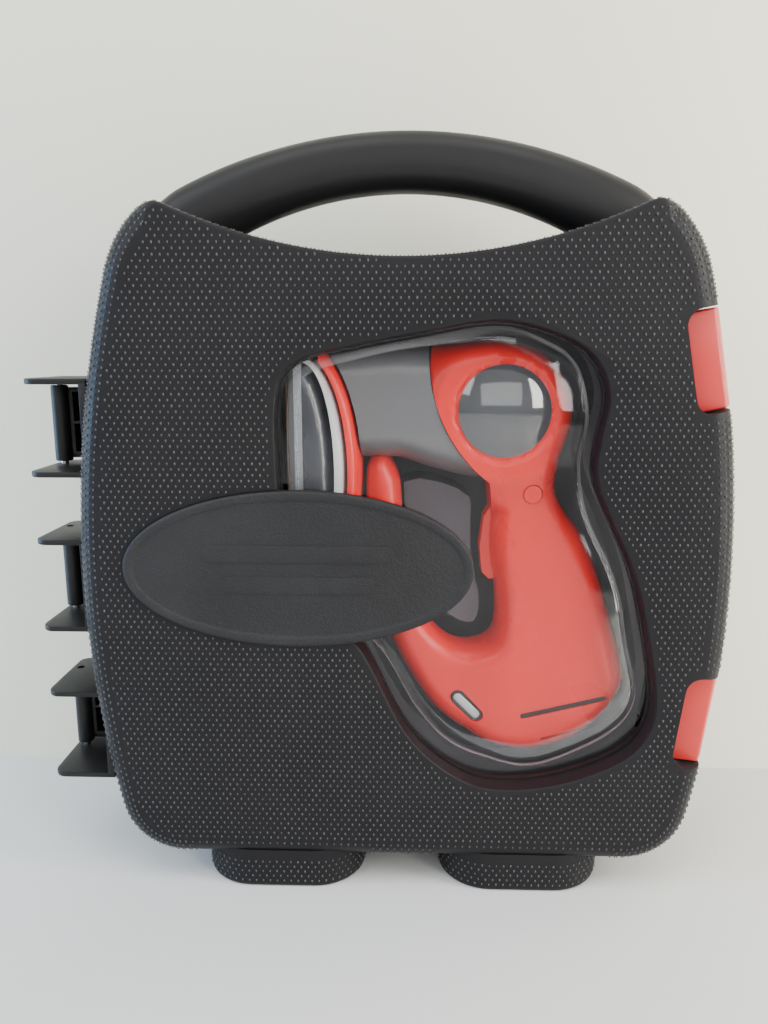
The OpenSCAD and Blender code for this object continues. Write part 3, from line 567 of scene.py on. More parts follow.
def shellRings(inset, side, near):
    # rings of one half shell, from the joint to its flat face
    c = caseShape
    rings = []
    radius = np.maximum(outlineEdge - inset, 0.4)
    depth = c["halfDepth"] - inset
    for y in (near, 20.0):
        rings.append((outlinePoints + outlineInward * inset, np.full(len(outlinePoints), y)))
    for k in range(9):
        a = math.radians(90 * k / 8)
        rings.append((outlinePoints + outlineInward * (inset + radius * (1 - math.cos(a)))[:, None],
                      depth - radius * (1 - math.sin(a))))
    return [[(p[0], side * y, p[1]) for p, y in zip(ring, ys)] for ring, ys in rings]


def footRings(inset, low, high, side, x):
    # a foot's plan with round outer corners, as rings from its sole upwards
    r, half, deep = footShape["radius"], footShape["half"], footShape["deep"]
    plan = []
    for cx, a0, a1 in ((half - r, 0, 90), (r - half, 90, 180)):
        for i in range(11):
            a = math.radians(a0 + (a1 - a0) * i / 10)
            plan.append((cx, deep - r, math.cos(a), math.sin(a)))

    def ring(d, z):
        pts = [(x + cx + (r - d) * ca, side * (cy + (r - d) * sa), z) for cx, cy, ca, sa in plan]
        return pts + [(x - half + d, side * 0.15, z), (x + half - d, side * 0.15, z)]
    if inset:
        return [ring(inset, low), ring(inset, high)]
    return [ring(2.2, low), ring(1.1, low + 0.4), ring(0.3, low + 1.3), ring(0, low + 2.6), ring(0, high)]


latchShape = {"heights": [284.0, 98.0], "length": 48.0, "nose": 17.0, "pocketBack": 16.5, "pinX": -5.0, "pinY": 8.0,
              "endGap": 0.9}


def latchFrame(z):
    tilt = math.asin((z - caseShape["bellyZ"]) / caseShape["sideRadius"])
    x = halfWidth - caseShape["sideRadius"] + math.sqrt(caseShape["sideRadius"] ** 2 - (z - caseShape["bellyZ"]) ** 2)
    return x, tilt


def atLatch(z, points):
    # from the latch's own frame to the case's frame
    x, tilt = latchFrame(z)
    c, s = math.cos(tilt), math.sin(tilt)
    return [(x + p[0] * c - p[2] * s, p[1], z + p[0] * s + p[2] * c) for p in points]


def pocketSolid(z, grow, name, back):
    # the room a latch sits in, with round inner corners
    deep, half, r = latchShape["nose"] + 2 + grow, latchShape["length"] / 2 + latchShape["endGap"] + grow, 8.0 + grow
    outline = [(9 + grow, -half), (9 + grow, half)]
    for cz, a0, a1 in ((half - r, 90, 180), (r - half, 180, 270)):
        for i in range(7):
            a = math.radians(a0 + (a1 - a0) * i / 6)
            outline.append((-deep + r + r * math.cos(a), cz + r * math.sin(a)))
    rings = [atLatch(z, [(px, y, pz) for px, pz in outline]) for y in (-53.0 - grow, back + grow)]
    return ringSolid(name, rings)


windowPoints = [(-62, 262), (-62, 215), (-62, 172), (-51, 152), (-24, 141), (2, 92), (28, 68), (52, 61), (84, 65),
                (114, 78), (127, 94), (129, 115), (122, 152), (114, 180), (95, 222), (95, 244), (98, 266), (90, 284),
                (72, 295), (44, 301), (11, 296), (-26, 289), (-53, 281)]
bubblePoints = [(-57, 262), (-57, 215), (-57, 176), (-44, 158), (-14, 139), (7, 104), (24, 85), (43, 76), (68, 71),
                (96, 82), (114, 95), (121, 112), (115, 140), (108, 172), (92, 206), (87, 232), (90, 256), (83, 281),
                (66, 293), (44, 299), (12, 294), (-24, 287), (-50, 279)]
windowLine = evenly(smoothCurve(windowPoints, 8)[::-1], 3.0)
bubbleLine = evenly(smoothCurve(bubblePoints, 8)[::-1], 2.5)
flangeY = lidFace + 10.0
badgeShape = {"x": -52.5, "z": 180.0, "halfWidth": 88.0, "halfHeight": 40.0, "sink": 0.9, "stands": 2.5,
              "rim": 4.2, "studs": [-55.0, -25.0], "studRadius": 2.5, "bars": ((8.0, 44.0), (-8.0, 34.0)),
              "barRadius": 4.4}


def oval(grow, y, count=96):
    b = badgeShape
    return [(b["x"] + (b["halfWidth"] + grow) * math.cos(a), y, b["z"] + (b["halfHeight"] + grow) * math.sin(a))
            for a in np.arange(count) * 2 * math.pi / count]


def windowRing(grow, y):
    return [(p[0], y, p[1]) for p in offsetCurve(windowLine, grow)]


def halfShell(name, side):
    near = caseShape["jointGap"]
    body = ringSolid(name, shellRings(0.0, side, near))
    for x in footShape["at"]:
        carve(body, ringSolid("foot", footRings(0, 0.0, 22.0, side, x)), "UNION")
    hollow = ringSolid("hollow", shellRings(caseShape["wall"], side, -2.0))
    for z in latchShape["heights"]:
        carve(hollow, pocketSolid(z, caseShape["wall"], "pocketWall", latchShape["pocketBack"]))
    if side < 0:
        w = caseShape["wall"]
        carve(hollow, ringSolid("wellWall", [windowRing(w, lidFace - 1), windowRing(w, flangeY)]))
    carve(body, hollow)
    for x in footShape["at"]:
        carve(body, ringSolid("footRoom", footRings(caseShape["wall"], 2.4, 20.4, side, x)))
    for z in latchShape["heights"]:
        carve(body, pocketSolid(z, 0.0, "pocket", latchShape["pocketBack"]))
    return body


def lidSkin():
    lid = halfShell("lid_skin", -1)
    lip = [windowRing(1.9, lidFace - 1.0), windowRing(0.9, lidFace - 0.01), windowRing(0.5, lidFace + 0.12),
           windowRing(0.15, lidFace + 0.45), windowRing(0.0, lidFace + 1.0), windowRing(-0.4, flangeY + 1)]
    carve(lid, ringSolid("windowCut", lip))
    carve(lid, ringSolid("badgeCut", [oval(0.4, lidFace - 1), oval(0.4, lidFace + badgeShape["sink"])]))
    lid.data.materials.clear()
    lid.data.materials.append(shellPlastic)
    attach(lid, "lid")
    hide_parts("lid_shell")
    return lid


def baseSkin():
    base = halfShell("base_skin", 1)
    back = caseShape["halfDepth"]
    r = padShape["radius"]
    for x in padShape["across"]:
        for z in padShape["up"]:
            steps = [(r, back - 1), (r, back + 1.7), (r - 0.4, back + 2.3), (r - 1.1, back + 2.5)]
            carve(base, ringSolid("pad", discRings((x, z), steps, 40)), "UNION")
    base.data.materials.clear()
    base.data.materials.append(shellPlastic)
    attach(base, "case_base")
    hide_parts("base_shell")
    return base


lid = lidSkin()
base = baseSkin()
print("case shells:", len(lid.data.polygons), len(base.data.polygons), "faces")


# the raised dots of the case

dotShape = {"across": 3.8, "down": 2.8, "width": 1.0, "length": 1.6, "height": 0.45, "jitter": 0.16, "seed": 7}


def dotTree():
    # small blunt cones on points, turned by the points' own normals
    tree = bpy.data.node_groups.new("raisedDots", "GeometryNodeTree")
    face = tree.interface
    face.new_socket("Geometry", in_out="INPUT", socket_type="NodeSocketGeometry")
    for label, kind, value in (("Width", "NodeSocketFloat", 0.0007), ("Length", "NodeSocketFloat", 0.0014),
                               ("Height", "NodeSocketFloat", 0.0003), ("Jitter", "NodeSocketFloat", 0.15),
                               ("Seed", "NodeSocketInt", 1), ("Finish", "NodeSocketMaterial", None)):
        socket = face.new_socket(label, in_out="INPUT", socket_type=kind)
        if value is not None:
            socket.default_value = value
    face.new_socket("Geometry", in_out="OUTPUT", socket_type="NodeSocketGeometry")
    add, link = tree.nodes.new, tree.links.new
    entry, leave = add("NodeGroupInput"), add("NodeGroupOutput")

    def named(label):
        node = add("GeometryNodeInputNamedAttribute")
        node.data_type = "FLOAT_VECTOR"
        node.inputs["Name"].default_value = label
        return node.outputs["Attribute"]

    cone = add("GeometryNodeMeshCone")
    cone.inputs["Vertices"].default_value = 6
    cone.inputs["Radius Top"].default_value = 0.26
    cone.inputs["Radius Bottom"].default_value = 0.5
    cone.inputs["Depth"].default_value = 1.0
    toNormal, toUp = add("FunctionNodeAlignRotationToVector"), add("FunctionNodeAlignRotationToVector")
    toNormal.axis, toUp.axis, toUp.pivot_axis = "Z", "Y", "Z"
    link(named("facing"), toNormal.inputs["Vector"])
    link(toNormal.outputs["Rotation"], toUp.inputs["Rotation"])
    link(named("upward"), toUp.inputs["Vector"])
    chance = add("FunctionNodeRandomValue")
    chance.data_type = "FLOAT"
    least, most = add("ShaderNodeMath"), add("ShaderNodeMath")
    least.operation, most.operation = "SUBTRACT", "ADD"
    least.inputs[0].default_value = most.inputs[0].default_value = 1.0
    link(entry.outputs["Jitter"], least.inputs[1])
    link(entry.outputs["Jitter"], most.inputs[1])
    link(least.outputs[0], chance.inputs[2])
    link(most.outputs[0], chance.inputs[3])
    link(entry.outputs["Seed"], chance.inputs["Seed"])
    size, scaled = add("ShaderNodeCombineXYZ"), add("ShaderNodeVectorMath")
    for label, axis in (("Width", "X"), ("Length", "Y"), ("Height", "Z")):
        link(entry.outputs[label], size.inputs[axis])
    scaled.operation = "SCALE"
    link(size.outputs[0], scaled.inputs[0])
    link(chance.outputs[1], scaled.inputs["Scale"])
    place = add("GeometryNodeInstanceOnPoints")
    real, paint = add("GeometryNodeRealizeInstances"), add("GeometryNodeSetMaterial")
    link(entry.outputs["Geometry"], place.inputs["Points"])
    link(cone.outputs["Mesh"], place.inputs["Instance"])
    link(toUp.outputs["Rotation"], place.inputs["Rotation"])
    link(scaled.outputs[0], place.inputs["Scale"])
    link(place.outputs["Instances"], real.inputs["Geometry"])
    link(real.outputs["Geometry"], paint.inputs["Geometry"])
    link(entry.outputs["Finish"], paint.inputs["Material"])
    link(paint.outputs["Geometry"], leave.inputs["Geometry"])
    return tree


raisedDots = dotTree()


def socketNamed(tree, label):
    return next(s.identifier for s in tree.interface.items_tree if s.name == label and s.in_out == "INPUT")


def scatterDots(name, spots, body):
    # spots are rows of place, normal and long direction in case millimetres
    spots = np.array(spots)
    mesh = bpy.data.meshes.new(name + "_points")
    # each cone is centred on its point, so a small part of it stays in the wall
    places = (spots[:, 0:3] + spots[:, 3:6] * dotShape["height"] * 0.35 + [caseMiddle, 0, 0]) * mm
    mesh.from_pydata(places.tolist(), [], [])
    for label, columns in (("facing", slice(3, 6)), ("upward", slice(6, 9))):
        values = mesh.attributes.new(label, "FLOAT_VECTOR", "POINT")
        values.data.foreach_set("vector", spots[:, columns].astype(np.float32).ravel())
    piece = linkPiece(name, mesh)
    step = piece.modifiers.new("dots", "NODES")
    step.node_group = raisedDots
    for label, value in (("Width", dotShape["width"] * mm), ("Length", dotShape["length"] * mm),
                         ("Height", dotShape["height"] * mm), ("Jitter", dotShape["jitter"]),
                         ("Seed", dotShape["seed"]), ("Finish", dotDustAndHighlight)):
        step[socketNamed(raisedDots, label)] = value
    bakeModifiers(piece, 80)
    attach(piece, body)
    print("  ", name, len(spots), "dots,", sum(len(p.vertices) - 2 for p in piece.data.polygons), "triangles")


def clearOfLatches(points, margin):
    keep = np.ones(len(points), bool)
    for z in latchShape["heights"]:
        x, tilt = latchFrame(z)
        dx, dz = points[:, 0] - x, points[:, 1] - z
        lx = dx * math.cos(tilt) + dz * math.sin(tilt)
        lz = -dx * math.sin(tilt) + dz * math.cos(tilt)
        keep &= ~((lx > -latchShape["nose"] - 2 - margin) & (np.abs(lz) < latchShape["length"] / 2 + 2.5 + margin))
    return keep


def faceSpots(side):
    # staggered rows over the flat face
    dx, dz = dotShape["across"], dotShape["down"]
    rows = []
    for j, z in enumerate(np.arange(caseShape["footHeight"] + 2, 372, dz)):
        shift = dx / 2 if j % 2 else 0
        rows += [(x + shift, z) for x in np.arange(-halfWidth, halfWidth, dx)]
    pts = np.array(rows)
    edge = outlinePoints + outlineInward * (outlineEdge + 0.4)[:, None]
    pts = pts[inside(edge, pts)]
    pts = pts[clearOfLatches(pts, 1.2)]
    if side < 0:
        pts = pts[~inside(offsetCurve(windowLine, 2.6), pts)]
        b = badgeShape
        across = (pts[:, 0] - b["x"]) / (b["halfWidth"] + 1.8)
        up = (pts[:, 1] - b["z"]) / (b["halfHeight"] + 1.8)
        pts = pts[across ** 2 + up ** 2 > 1]
    else:
        for x in padShape["across"]:
            for z in padShape["up"]:
                pts = pts[np.hypot(pts[:, 0] - x, pts[:, 1] - z) > padShape["radius"] + 1.5]
    return [(x, side * caseShape["halfDepth"], z, 0, side, 0, 0, 0, 1) for x, z in pts]


def alongOutline(spacing):
    # even steps along the outline with place, inward normal and edge radius
    p = closed(outlinePoints)
    length = np.concatenate([[0], np.cumsum(np.linalg.norm(np.diff(p, axis=0), axis=1))])
    count = int(length[-1] / spacing)
    at = np.arange(count * 2) * length[-1] / count / 2
    columns = np.column_stack([outlinePoints, outlineInward, outlineEdge])
    return np.column_stack([np.interp(at, length, column) for column in closed(columns).T])


def sideSpots(side):
    # the same rows carried round the edge and down the sides
    spots = []
    steps = alongOutline(dotShape["across"])
    straps = hingeShape["heights"].values()
    for i, (x, z, nx, nz, r) in enumerate(steps):
        onStrap = side < 0 and x < -100 and any(abs(z - s) < 25.5 for s in straps)
        onKnuckle = side > 0 and x < -100 and any(abs(z - s) < 21 for s in straps)
        onFoot = z < 22 and 19 < abs(x) < 111
        underHandle = z > 340 and nz < 0
        inPocket = not clearOfLatches(np.array([[x, z]]), 1.2)[0]
        for k in range(24):
            if (i + k) % 2:
                continue
            along = 2.2 + k * dotShape["down"]
            straight = caseShape["halfDepth"] - r
            if along < straight:
                a, y = 0.0, along
            else:
                a = (along - straight) / r
                y = straight + r * math.sin(a)
            if a > 1.5 or onStrap and y < 37 or onKnuckle and y < 18 or onFoot and y < 47 or underHandle and y < 19:
                continue
            if inPocket and (side < 0 or y < latchShape["pocketBack"] + 1.5):
                continue
            inset = r * (1 - math.cos(a))
            out = np.array([-nx * math.cos(a), side * math.sin(a), -nz * math.cos(a)])
            up = np.array([0, 0, 1.0]) if abs(out[2]) < 0.8 else np.array([0, 1.0, 0])
            up = up - out * (up @ out)
            spots.append((x + nx * inset, side * y, z + nz * inset, *out, *(up / np.linalg.norm(up))))
    return spots


def footSpots(side):
    # rows round the front and the corners of the feet
    spots = []
    r, half, deep = footShape["radius"], footShape["half"], footShape["deep"]
    for x in footShape["at"]:
        line = [(half - r, deep - r, 0, 90), (r - half, deep - r, 90, 180)]
        path = [(half, y, 1, 0) for y in np.arange(3, deep - r, 0.5)]
        for cx, cy, a0, a1 in line:
            path += [(cx + r * math.cos(math.radians(a)), cy + r * math.sin(math.radians(a)),
                      math.cos(math.radians(a)), math.sin(math.radians(a))) for a in np.arange(a0, a1, 1)]
        path += [(-half, y, -1, 0) for y in np.arange(deep - r, 3, -0.5)]
        path = np.array(path)
        length = np.concatenate([[0], np.cumsum(np.linalg.norm(np.diff(path[:, :2], axis=0), axis=1))])
        for j, z in enumerate(np.arange(4.0, 17.0, dotShape["down"])):
            for at in np.arange(2 + (j % 2) * dotShape["across"] / 2, length[-1] - 2, dotShape["across"]):
                px, py, nx, ny = [np.interp(at, length, path[:, c]) for c in range(4)]
                spots.append((x + px, side * py, z, nx, side * ny, 0, 0, 0, 1))
    return spots


scatterDots("lid_face_dots", faceSpots(-1), "lid")
scatterDots("lid_side_dots", sideSpots(-1) + footSpots(-1), "lid")
scatterDots("base_face_dots", faceSpots(1), "case_base")
scatterDots("base_side_dots", sideSpots(1) + footSpots(1), "case_base")
print("dots done")


# handle, hinges, latches

handleShape = {"top": 395.0, "outerRadius": 265.0, "fillet": 50.0, "gapTop": 366.0, "gapRadius": 188.0,
               "halfDepth": 16.0, "lift": 0.15, "stations": 72, "reach": 47.0, "squareness": 2.5}


def handleHalf(name, side, body, node):
    h = handleShape
    centre = np.array([0, h["top"] - h["outerRadius"]])
    sideCentre = np.array([halfWidth - caseShape["sideRadius"], caseShape["bellyZ"]])
    fillet = sideways(centre, h["outerRadius"] - h["fillet"], sideCentre, caseShape["sideRadius"] - h["fillet"])
    aFillet, aSide = bearing(fillet - centre), bearing(fillet - sideCentre)
    outer = []
    for c, r, a0, a1, n in ((centre, h["outerRadius"], 90, aFillet, 60), (fillet, h["fillet"], aFillet, aSide, 16),
                            (sideCentre, caseShape["sideRadius"], aSide, aSide - 6, 6)):
        for i in range(n):
            a = math.radians(a0 + (a1 - a0) * i / n)
            outer.append(c + r * np.array([math.cos(a), math.sin(a)]))
    outer = np.array(outer)
    hub = np.array([0, 150.0])
    turn = np.degrees(np.arctan2(outer[:, 1] - hub[1], outer[:, 0] - hub[0]))
    reach = np.linalg.norm(outer - hub, axis=1)
    gapCentre = h["gapTop"] - h["gapRadius"] - hub[1]
    rings = []
    for a in np.linspace(90 - h["reach"] + 8, 90 + h["reach"] - 8, h["stations"]):
        fold = a if a <= 90 else 180 - a
        rOut = np.interp(fold, turn[::-1], reach[::-1]) - 0.05
        ca, sa = math.cos(math.radians(a)), math.sin(math.radians(a))
        rIn = gapCentre * sa + math.sqrt(h["gapRadius"] ** 2 - (gapCentre * ca) ** 2)
        mid, half = (rOut + rIn) / 2, (rOut - rIn) / 2
        ring = []
        for i in range(25):
            t = math.pi * i / 24
            u = math.copysign(abs(math.cos(t)) ** (2 / h["squareness"]), math.cos(t))
            v = abs(math.sin(t)) ** (2 / h["squareness"])
            r = mid + half * u
            ring.append((r * ca, side * (h["lift"] + (h["halfDepth"] - h["lift"]) * v), hub[1] + r * sa))
        rings.append(ring)
    piece = ringSolid(name, rings, smoothPlastic, 45)
    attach(piece, body)
    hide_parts(node)


handleHalf("handle_front_grip", -1, "lid", "handle_front")
handleHalf("handle_rear_grip", 1, "case_base", "handle_rear")


def prism(name, outline, low, high, finish=None):
    # an x-y outline given its height
    return ringSolid(name, [[(x, y, low) for x, y in outline], [(x, y, high) for x, y in outline]], finish)


def arcPoints(cx, cy, r, a0, a1, n):
    return [(cx + r * math.cos(math.radians(a0 + (a1 - a0) * i / n)),
             cy + r * math.sin(math.radians(a0 + (a1 - a0) * i / n))) for i in range(n + 1)]


def hingeFins(label, z):
    h = hingeShape
    x = latchFrame(z)[0]
    wall = -x + 1.2
    left = h["axisX"] - h["tip"]
    parts = []
    for s in (-1, 1):
        plan = [(wall, -0.3), (wall, h["front"])]
        plan += arcPoints(left + 7, h["front"] + 7, 7, 270, 180, 8)
        plan += arcPoints(left + 5, h["rear"] - 5, 5, 180, 90, 6)
        plan += arcPoints(h["axisX"] + 9, h["rear"] - 5, 5, 90, 0, 6)
        plan += [(h["axisX"] + 14, -0.3)]
        mid = z + s * h["gap"] / 2
        fin = prism("fin", plan, mid - h["plate"] / 2, mid + h["plate"] / 2)
        parts.append(softenEdges(fin, h["soften"]))
    strap = [(-x - 3, -35), (-x - 3, -7), (-x + 1.2, -7), (-x + 1.2, -35)]
    parts.append(softenEdges(prism("strap", strap, z - h["gap"] / 2, z + h["gap"] / 2), 0.8))
    piece = joinPieces(label + "_fins", parts)
    piece.data.materials.clear()
    piece.data.materials.append(smoothPlastic)
    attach(piece, "lid")
    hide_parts(label + "_hinge_fins")


def hingeKnuckle(label, z):
    # a box open to the front in two cells, with the barrel the pin runs in
    h = hingeShape
    x = latchFrame(z)[0]
    left, right, half, web, deep = h["axisX"] - 3.4, -x + 1.2, 19.0, 2.2, 15.0
    body = prism("knuckle", [(left, 0.4), (left, 0.4 + deep), (right, 0.4 + deep), (right, 0.4)], z - half, z + half)
    for low, high in ((-half + 1.5 * web, -0.6), (1.1, half - web)):
        cell = [(left + 10, -1), (left + 10, deep - web), (right + 9, deep - web), (right + 9, -1)]
        carve(body, prism("cell", cell, z + low, z + high))
    softenEdges(body, 0.5)
    rings = [[(h["axisX"] + r * math.cos(a), r * math.sin(a), z + dz) for a in np.arange(32) * math.pi / 16]
             for r, dz in ((4.1, -20.5), (4.6, -20.0), (4.6, 20.0), (4.1, 20.5))]
    piece = joinPieces(label + "_knuckle_box", [body, ringSolid("barrel", rings)])
    piece.data.materials.clear()
    piece.data.materials.append(smoothPlastic)
    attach(piece, "case_base")
    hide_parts(label + "_knuckle")


for label, z in hingeShape["heights"].items():
    hingeFins(label, z)
    hingeKnuckle(label, z)


def latchPiece(label, z):
    l = latchShape
    face = 1.5
    turn = face - l["pinX"]
    section = [(-17, -40), (-17, -31), (-5, -28), (-11.5, 6)]
    section += arcPoints(l["pinX"], l["pinY"], turn, 180, 0, 16)
    section += [(face, -33), (-2.5, -40)]
    half = l["length"] / 2
    rings = [atLatch(z, [(x, y, dz) for x, y in section]) for dz in (-half, half)]
    piece = softenEdges(ringSolid(label + "_catch", rings, latchPlastic), 1.1, 3, 20)
    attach(piece, label)
    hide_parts(label)


latchPiece("upper_latch", latchShape["heights"][0])
latchPiece("lower_latch", latchShape["heights"][1])
print("handle, hinges and latches done")


# badge and clear window

def badgePlate():
    b = badgeShape
    back = lidFace + b["sink"]
    front = lidFace - b["stands"]
    rim = b["rim"]
    rings = [oval(0, back), oval(0, front + 1.3), oval(-0.3, front + 0.5), oval(-1.0, front + 0.08), oval(-1.6, front),
             oval(-rim, front), oval(-rim - 0.6, front + 0.25), oval(-rim - 1.0, front + 0.5),
             oval(-rim - 2.0, front + 0.55),
             oval(-14, front + 0.5), oval(-26, front + 0.42), oval(-36, front + 0.38)]
    parts = [ringSolid("plate", rings, badgePlastic, 40)]
    for dz, half in b["bars"]:
        # plain raised bars in the middle of the plate
        r = b["barRadius"]
        outline = arcPoints(half, 0, r, -90, 90, 10) + arcPoints(-half, 0, r, 90, 270, 10)
        bar = [[(b["x"] + x * k, y, b["z"] + dz + z * k) for x, z in outline]
               for k, y in ((1.0, front + 0.9), (1.0, front + 0.18), (0.985, front + 0.06), (0.96, front + 0.02))]
        parts.append(ringSolid("bar", bar, badgePlastic, 50))
    for x in b["studs"]:
        steps = [(b["studRadius"], back - 0.4), (b["studRadius"], back + 5)]
        parts.append(ringSolid("stud", discRings((b["x"] + x, b["z"]), steps, 24), badgePlastic))
    piece = joinPieces("badge_oval", parts)
    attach(piece, "lid")
    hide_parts("badge_plate")


blisterShape = {"sheet": 0.8, "rise": [(0.0, 0.0), (0.35, 2.4), (1.1, 4.0), (2.6, 5.0), (12.6, 7.45), (13.8, 7.9),
                                       (15.4, 8.2), (16.6, 8.2)]}  # steps in from the wall and up from the flange


def windowBlister():
    # flange, steep wall, sloped shoulder and flat top, all one formed sheet
    flat = flangeY + 0.1
    count = len(bubbleLine)
    share = 0.32 + 0.68 * ramp(bubbleLine[:, 0], -10, 70)
    share *= 0.55 + 0.45 * ramp(bubbleLine[:, 1], 300, 270)
    outside = offsetCurve(windowLine, 5.6)
    # the flange's outline again, one point for each point of the bubble's line
    nearest = []
    normals = offsetCurve(bubbleLine, 1.0) - bubbleLine
    for p, n in zip(bubbleLine, normals):
        d = np.linalg.norm(outside - (p + n * 6), axis=1)
        nearest.append(outside[d.argmin()])
    nearest = np.array(nearest)
    for _ in range(6):
        nearest = (np.roll(nearest, 1, 0) + 2 * nearest + np.roll(nearest, -1, 0)) / 4

    def sheetRings(drop):
        rings = [[(p[0], flat + drop, p[1]) for p in nearest]]
        rings.append([(p[0], flat + drop, p[1]) for p in offsetCurve(bubbleLine, 1.0 - drop)])
        for inset, rise in blisterShape["rise"]:
            line = offsetCurve(bubbleLine, -inset * share - drop * (rise > 0.1))
            rings.append([(p[0], flat - rise + drop, p[1]) for p in line])
        return rings
    outerRings, innerRings = sheetRings(0.0), sheetRings(blisterShape["sheet"])
    verts, faces, starts = [], [], []
    for rings, flip in ((outerRings, False), (innerRings, True)):
        start = len(verts)
        starts.append(start)
        verts += [p for ring in rings for p in ring]
        for k in range(len(rings) - 1):
            a, b = start + k * count, start + (k + 1) * count
            for i in range(count):
                quad = [a + i, a + (i + 1) % count, b + (i + 1) % count, b + i]
                faces.append(quad[::-1] if flip else quad)
        # the top is filled with triangles
        last = start + (len(rings) - 1) * count
        flatTop = [Vector((verts[last + i][0], verts[last + i][2])) for i in range(count)]
        found = delaunay_2d_cdt(flatTop, [(i, (i + 1) % count) for i in range(count)], [], 1, 1e-5)
        pts, tris = found[0], found[2]
        extra = {}
        for j, p in enumerate(pts):
            if j >= count:
                extra[j] = len(verts)
                verts.append((p[0], verts[last][1], p[1]))
        for t in tris:
            faces.append([last + j if j < count else extra[j] for j in t])
    a, b = starts
    for i in range(count):
        faces.append([a + i, b + i, b + (i + 1) % count, a + (i + 1) % count])
    piece = buildMesh("clear_blister", verts, faces, clearSheet, 28)
    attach(piece, "lid")
    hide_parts("window_blister")


badgePlate()
windowBlister()
print("badge and window done")


# the tool's mouldings

gripPoints = [(14, 290), (32, 292), (51, 293), (72, 286), (85, 270), (88, 252), (82, 230), (81, 214), (87, 202),
              (96, 190), (106, 168), (113, 146), (121, 120), (122, 106), (112, 88), (94, 73), (72, 66), (56, 67),
              (43, 71), (21, 86), (7, 104), (-6, 128), (-14, 152), (-19, 182), (-20.5, 212), (-20.3, 224)]
loopPoints = [(-4.6, 226.5), (-2.2, 220), (-1.2, 210), (0, 188), (5, 160), (12, 142), (26, 128), (40, 126), (50, 133),
              (51, 155), (46.5, 183), (47, 202)]
toolShape = {"seamCentre": (92.0, 283.0), "seamRadius": 79.0, "guard": 16.0, "grip": 21.0, "ring": 25.0,
             "ringAt": (51.0, 257.0), "domeRadius": 23.5, "domeHeight": 5.6, "seamGap": 0.05, "spacing": 2.4,
             "headAt": (-51.0, 225.0)}


def seamArc(grow, n=18):
    c, r = toolShape["seamCentre"], toolShape["seamRadius"] + grow
    return np.array([(c[0] + r * math.cos(math.radians(a)), c[1] + r * math.sin(math.radians(a)))
                     for a in np.linspace(180, 233, n)])


# where the guard turns into the grip and the grip into the ring, and how round the free sides are
gripProfile = {"turn": (28.0, 62.0), "ringTurn": (52.0, 33.0), "sideRound": 11.0, "squareness": 2.3,
               "grooveOut": 1.2, "grooveWidth": 1.1, "grooveDepth": 1.6}
roundInsets = [0.25, 0.8, 1.7, 3.0, 4.6, 6.6, 9.0]


def liftedSolid(name, outline, freeLines, side, height, finish, near=toolShape["seamGap"], insets=roundInsets,
                spacing=toolShape["spacing"]):
    # a moulding half: its flat back at the joint, its face lifted by a height over the outline
    border = closed(outline)
    pts = [tuple(p) for p in outline]
    count = len(outline)
    area = np.sum(outline[:, 0] * np.roll(outline[:, 1], -1) - np.roll(outline[:, 0], -1) * outline[:, 1])
    clockwise = outline if area < 0 else outline[::-1]
    for inset in insets:
        line = offsetCurve(clockwise, -inset)
        keep = inside(outline, line) & (distanceTo([border], line) > inset * 0.985)
        line = line[keep]
        if len(line):
            thin = [line[0]]
            for p in line[1:]:
                if np.linalg.norm(p - thin[-1]) > min(spacing * 0.8, 0.7 + inset * 0.35):
                    thin.append(p)
            pts += [tuple(p) for p in thin]
    low, high = outline.min(0), outline.max(0)
    grid = []
    for j, z in enumerate(np.arange(low[1], high[1], spacing * 0.866)):
        grid += [(x + (j % 2) * spacing / 2, z) for x in np.arange(low[0], high[0], spacing)]
    grid = np.array(grid)
    grid = grid[inside(outline, grid)]
    grid = grid[distanceTo([border], grid) > insets[-1] + spacing * 0.5]
    pts += [tuple(p) for p in grid]
    found = delaunay_2d_cdt([Vector(p) for p in pts], [(i, (i + 1) % count) for i in range(count)], [], 1, 1e-4)
    flat = np.array([(p[0], p[1]) for p in found[0]])
    tris = found[2]
    free = distanceTo(freeLines, flat) if freeLines else np.full(len(flat), 1e3)
    lift = np.maximum(height(flat, free), near + 0.15)
    total = len(flat)
    verts = [(x, side * h, z) for (x, z), h in zip(flat, lift)] + [(x, side * near, z) for x, z in flat]
    faces = [list(t) for t in tris] + [[total + i for i in reversed(t)] for t in tris]
    edges = {}
    for t in tris:
        for a, b in zip(t, (*t[1:], t[0])):
            edges[(a, b)] = True
    rim = [(a, b) for a, b in edges if (b, a) not in edges]
    faces += [[b, a, total + a, total + b] for a, b in rim]
    return buildMesh(name, verts, faces, finish, 40)


def roundOff(free, radius, power=2.0):
    # 0 at a free edge, 1 from a radius inwards
    t = np.clip(free / radius, 0, 1)
    return (1 - (1 - t) ** power) ** (1 / power)


def gripHeight(flat, free):
    s, g = toolShape, gripProfile
    x, z = flat[:, 0], flat[:, 1]
    full = s["guard"] + (s["grip"] - s["guard"]) * ramp(x, *g["turn"])
    ringDistance = np.hypot(x - s["ringAt"][0], z - s["ringAt"][1])
    full = full + (s["ring"] - full) * ramp(ringDistance, *g["ringTurn"])
    # a flat front between two sloped sides, as the guard and the grip have
    side = roundOff(free, g["sideRound"], g["squareness"])
    h = full * (0.12 + 0.88 * side) * np.where(free < 0.01, 0.02, 1.0)
    # the groove round the side cap
    groove = np.exp(-((ringDistance - s["domeRadius"] - g["grooveOut"]) / g["grooveWidth"]) ** 2)
    return h - g["grooveDepth"] * groove


def gripOutline():
    grip, loop, seam = openCurve(gripPoints, 6), openCurve(loopPoints, 6), seamArc(0)[::-1]
    return grip, loop, seam


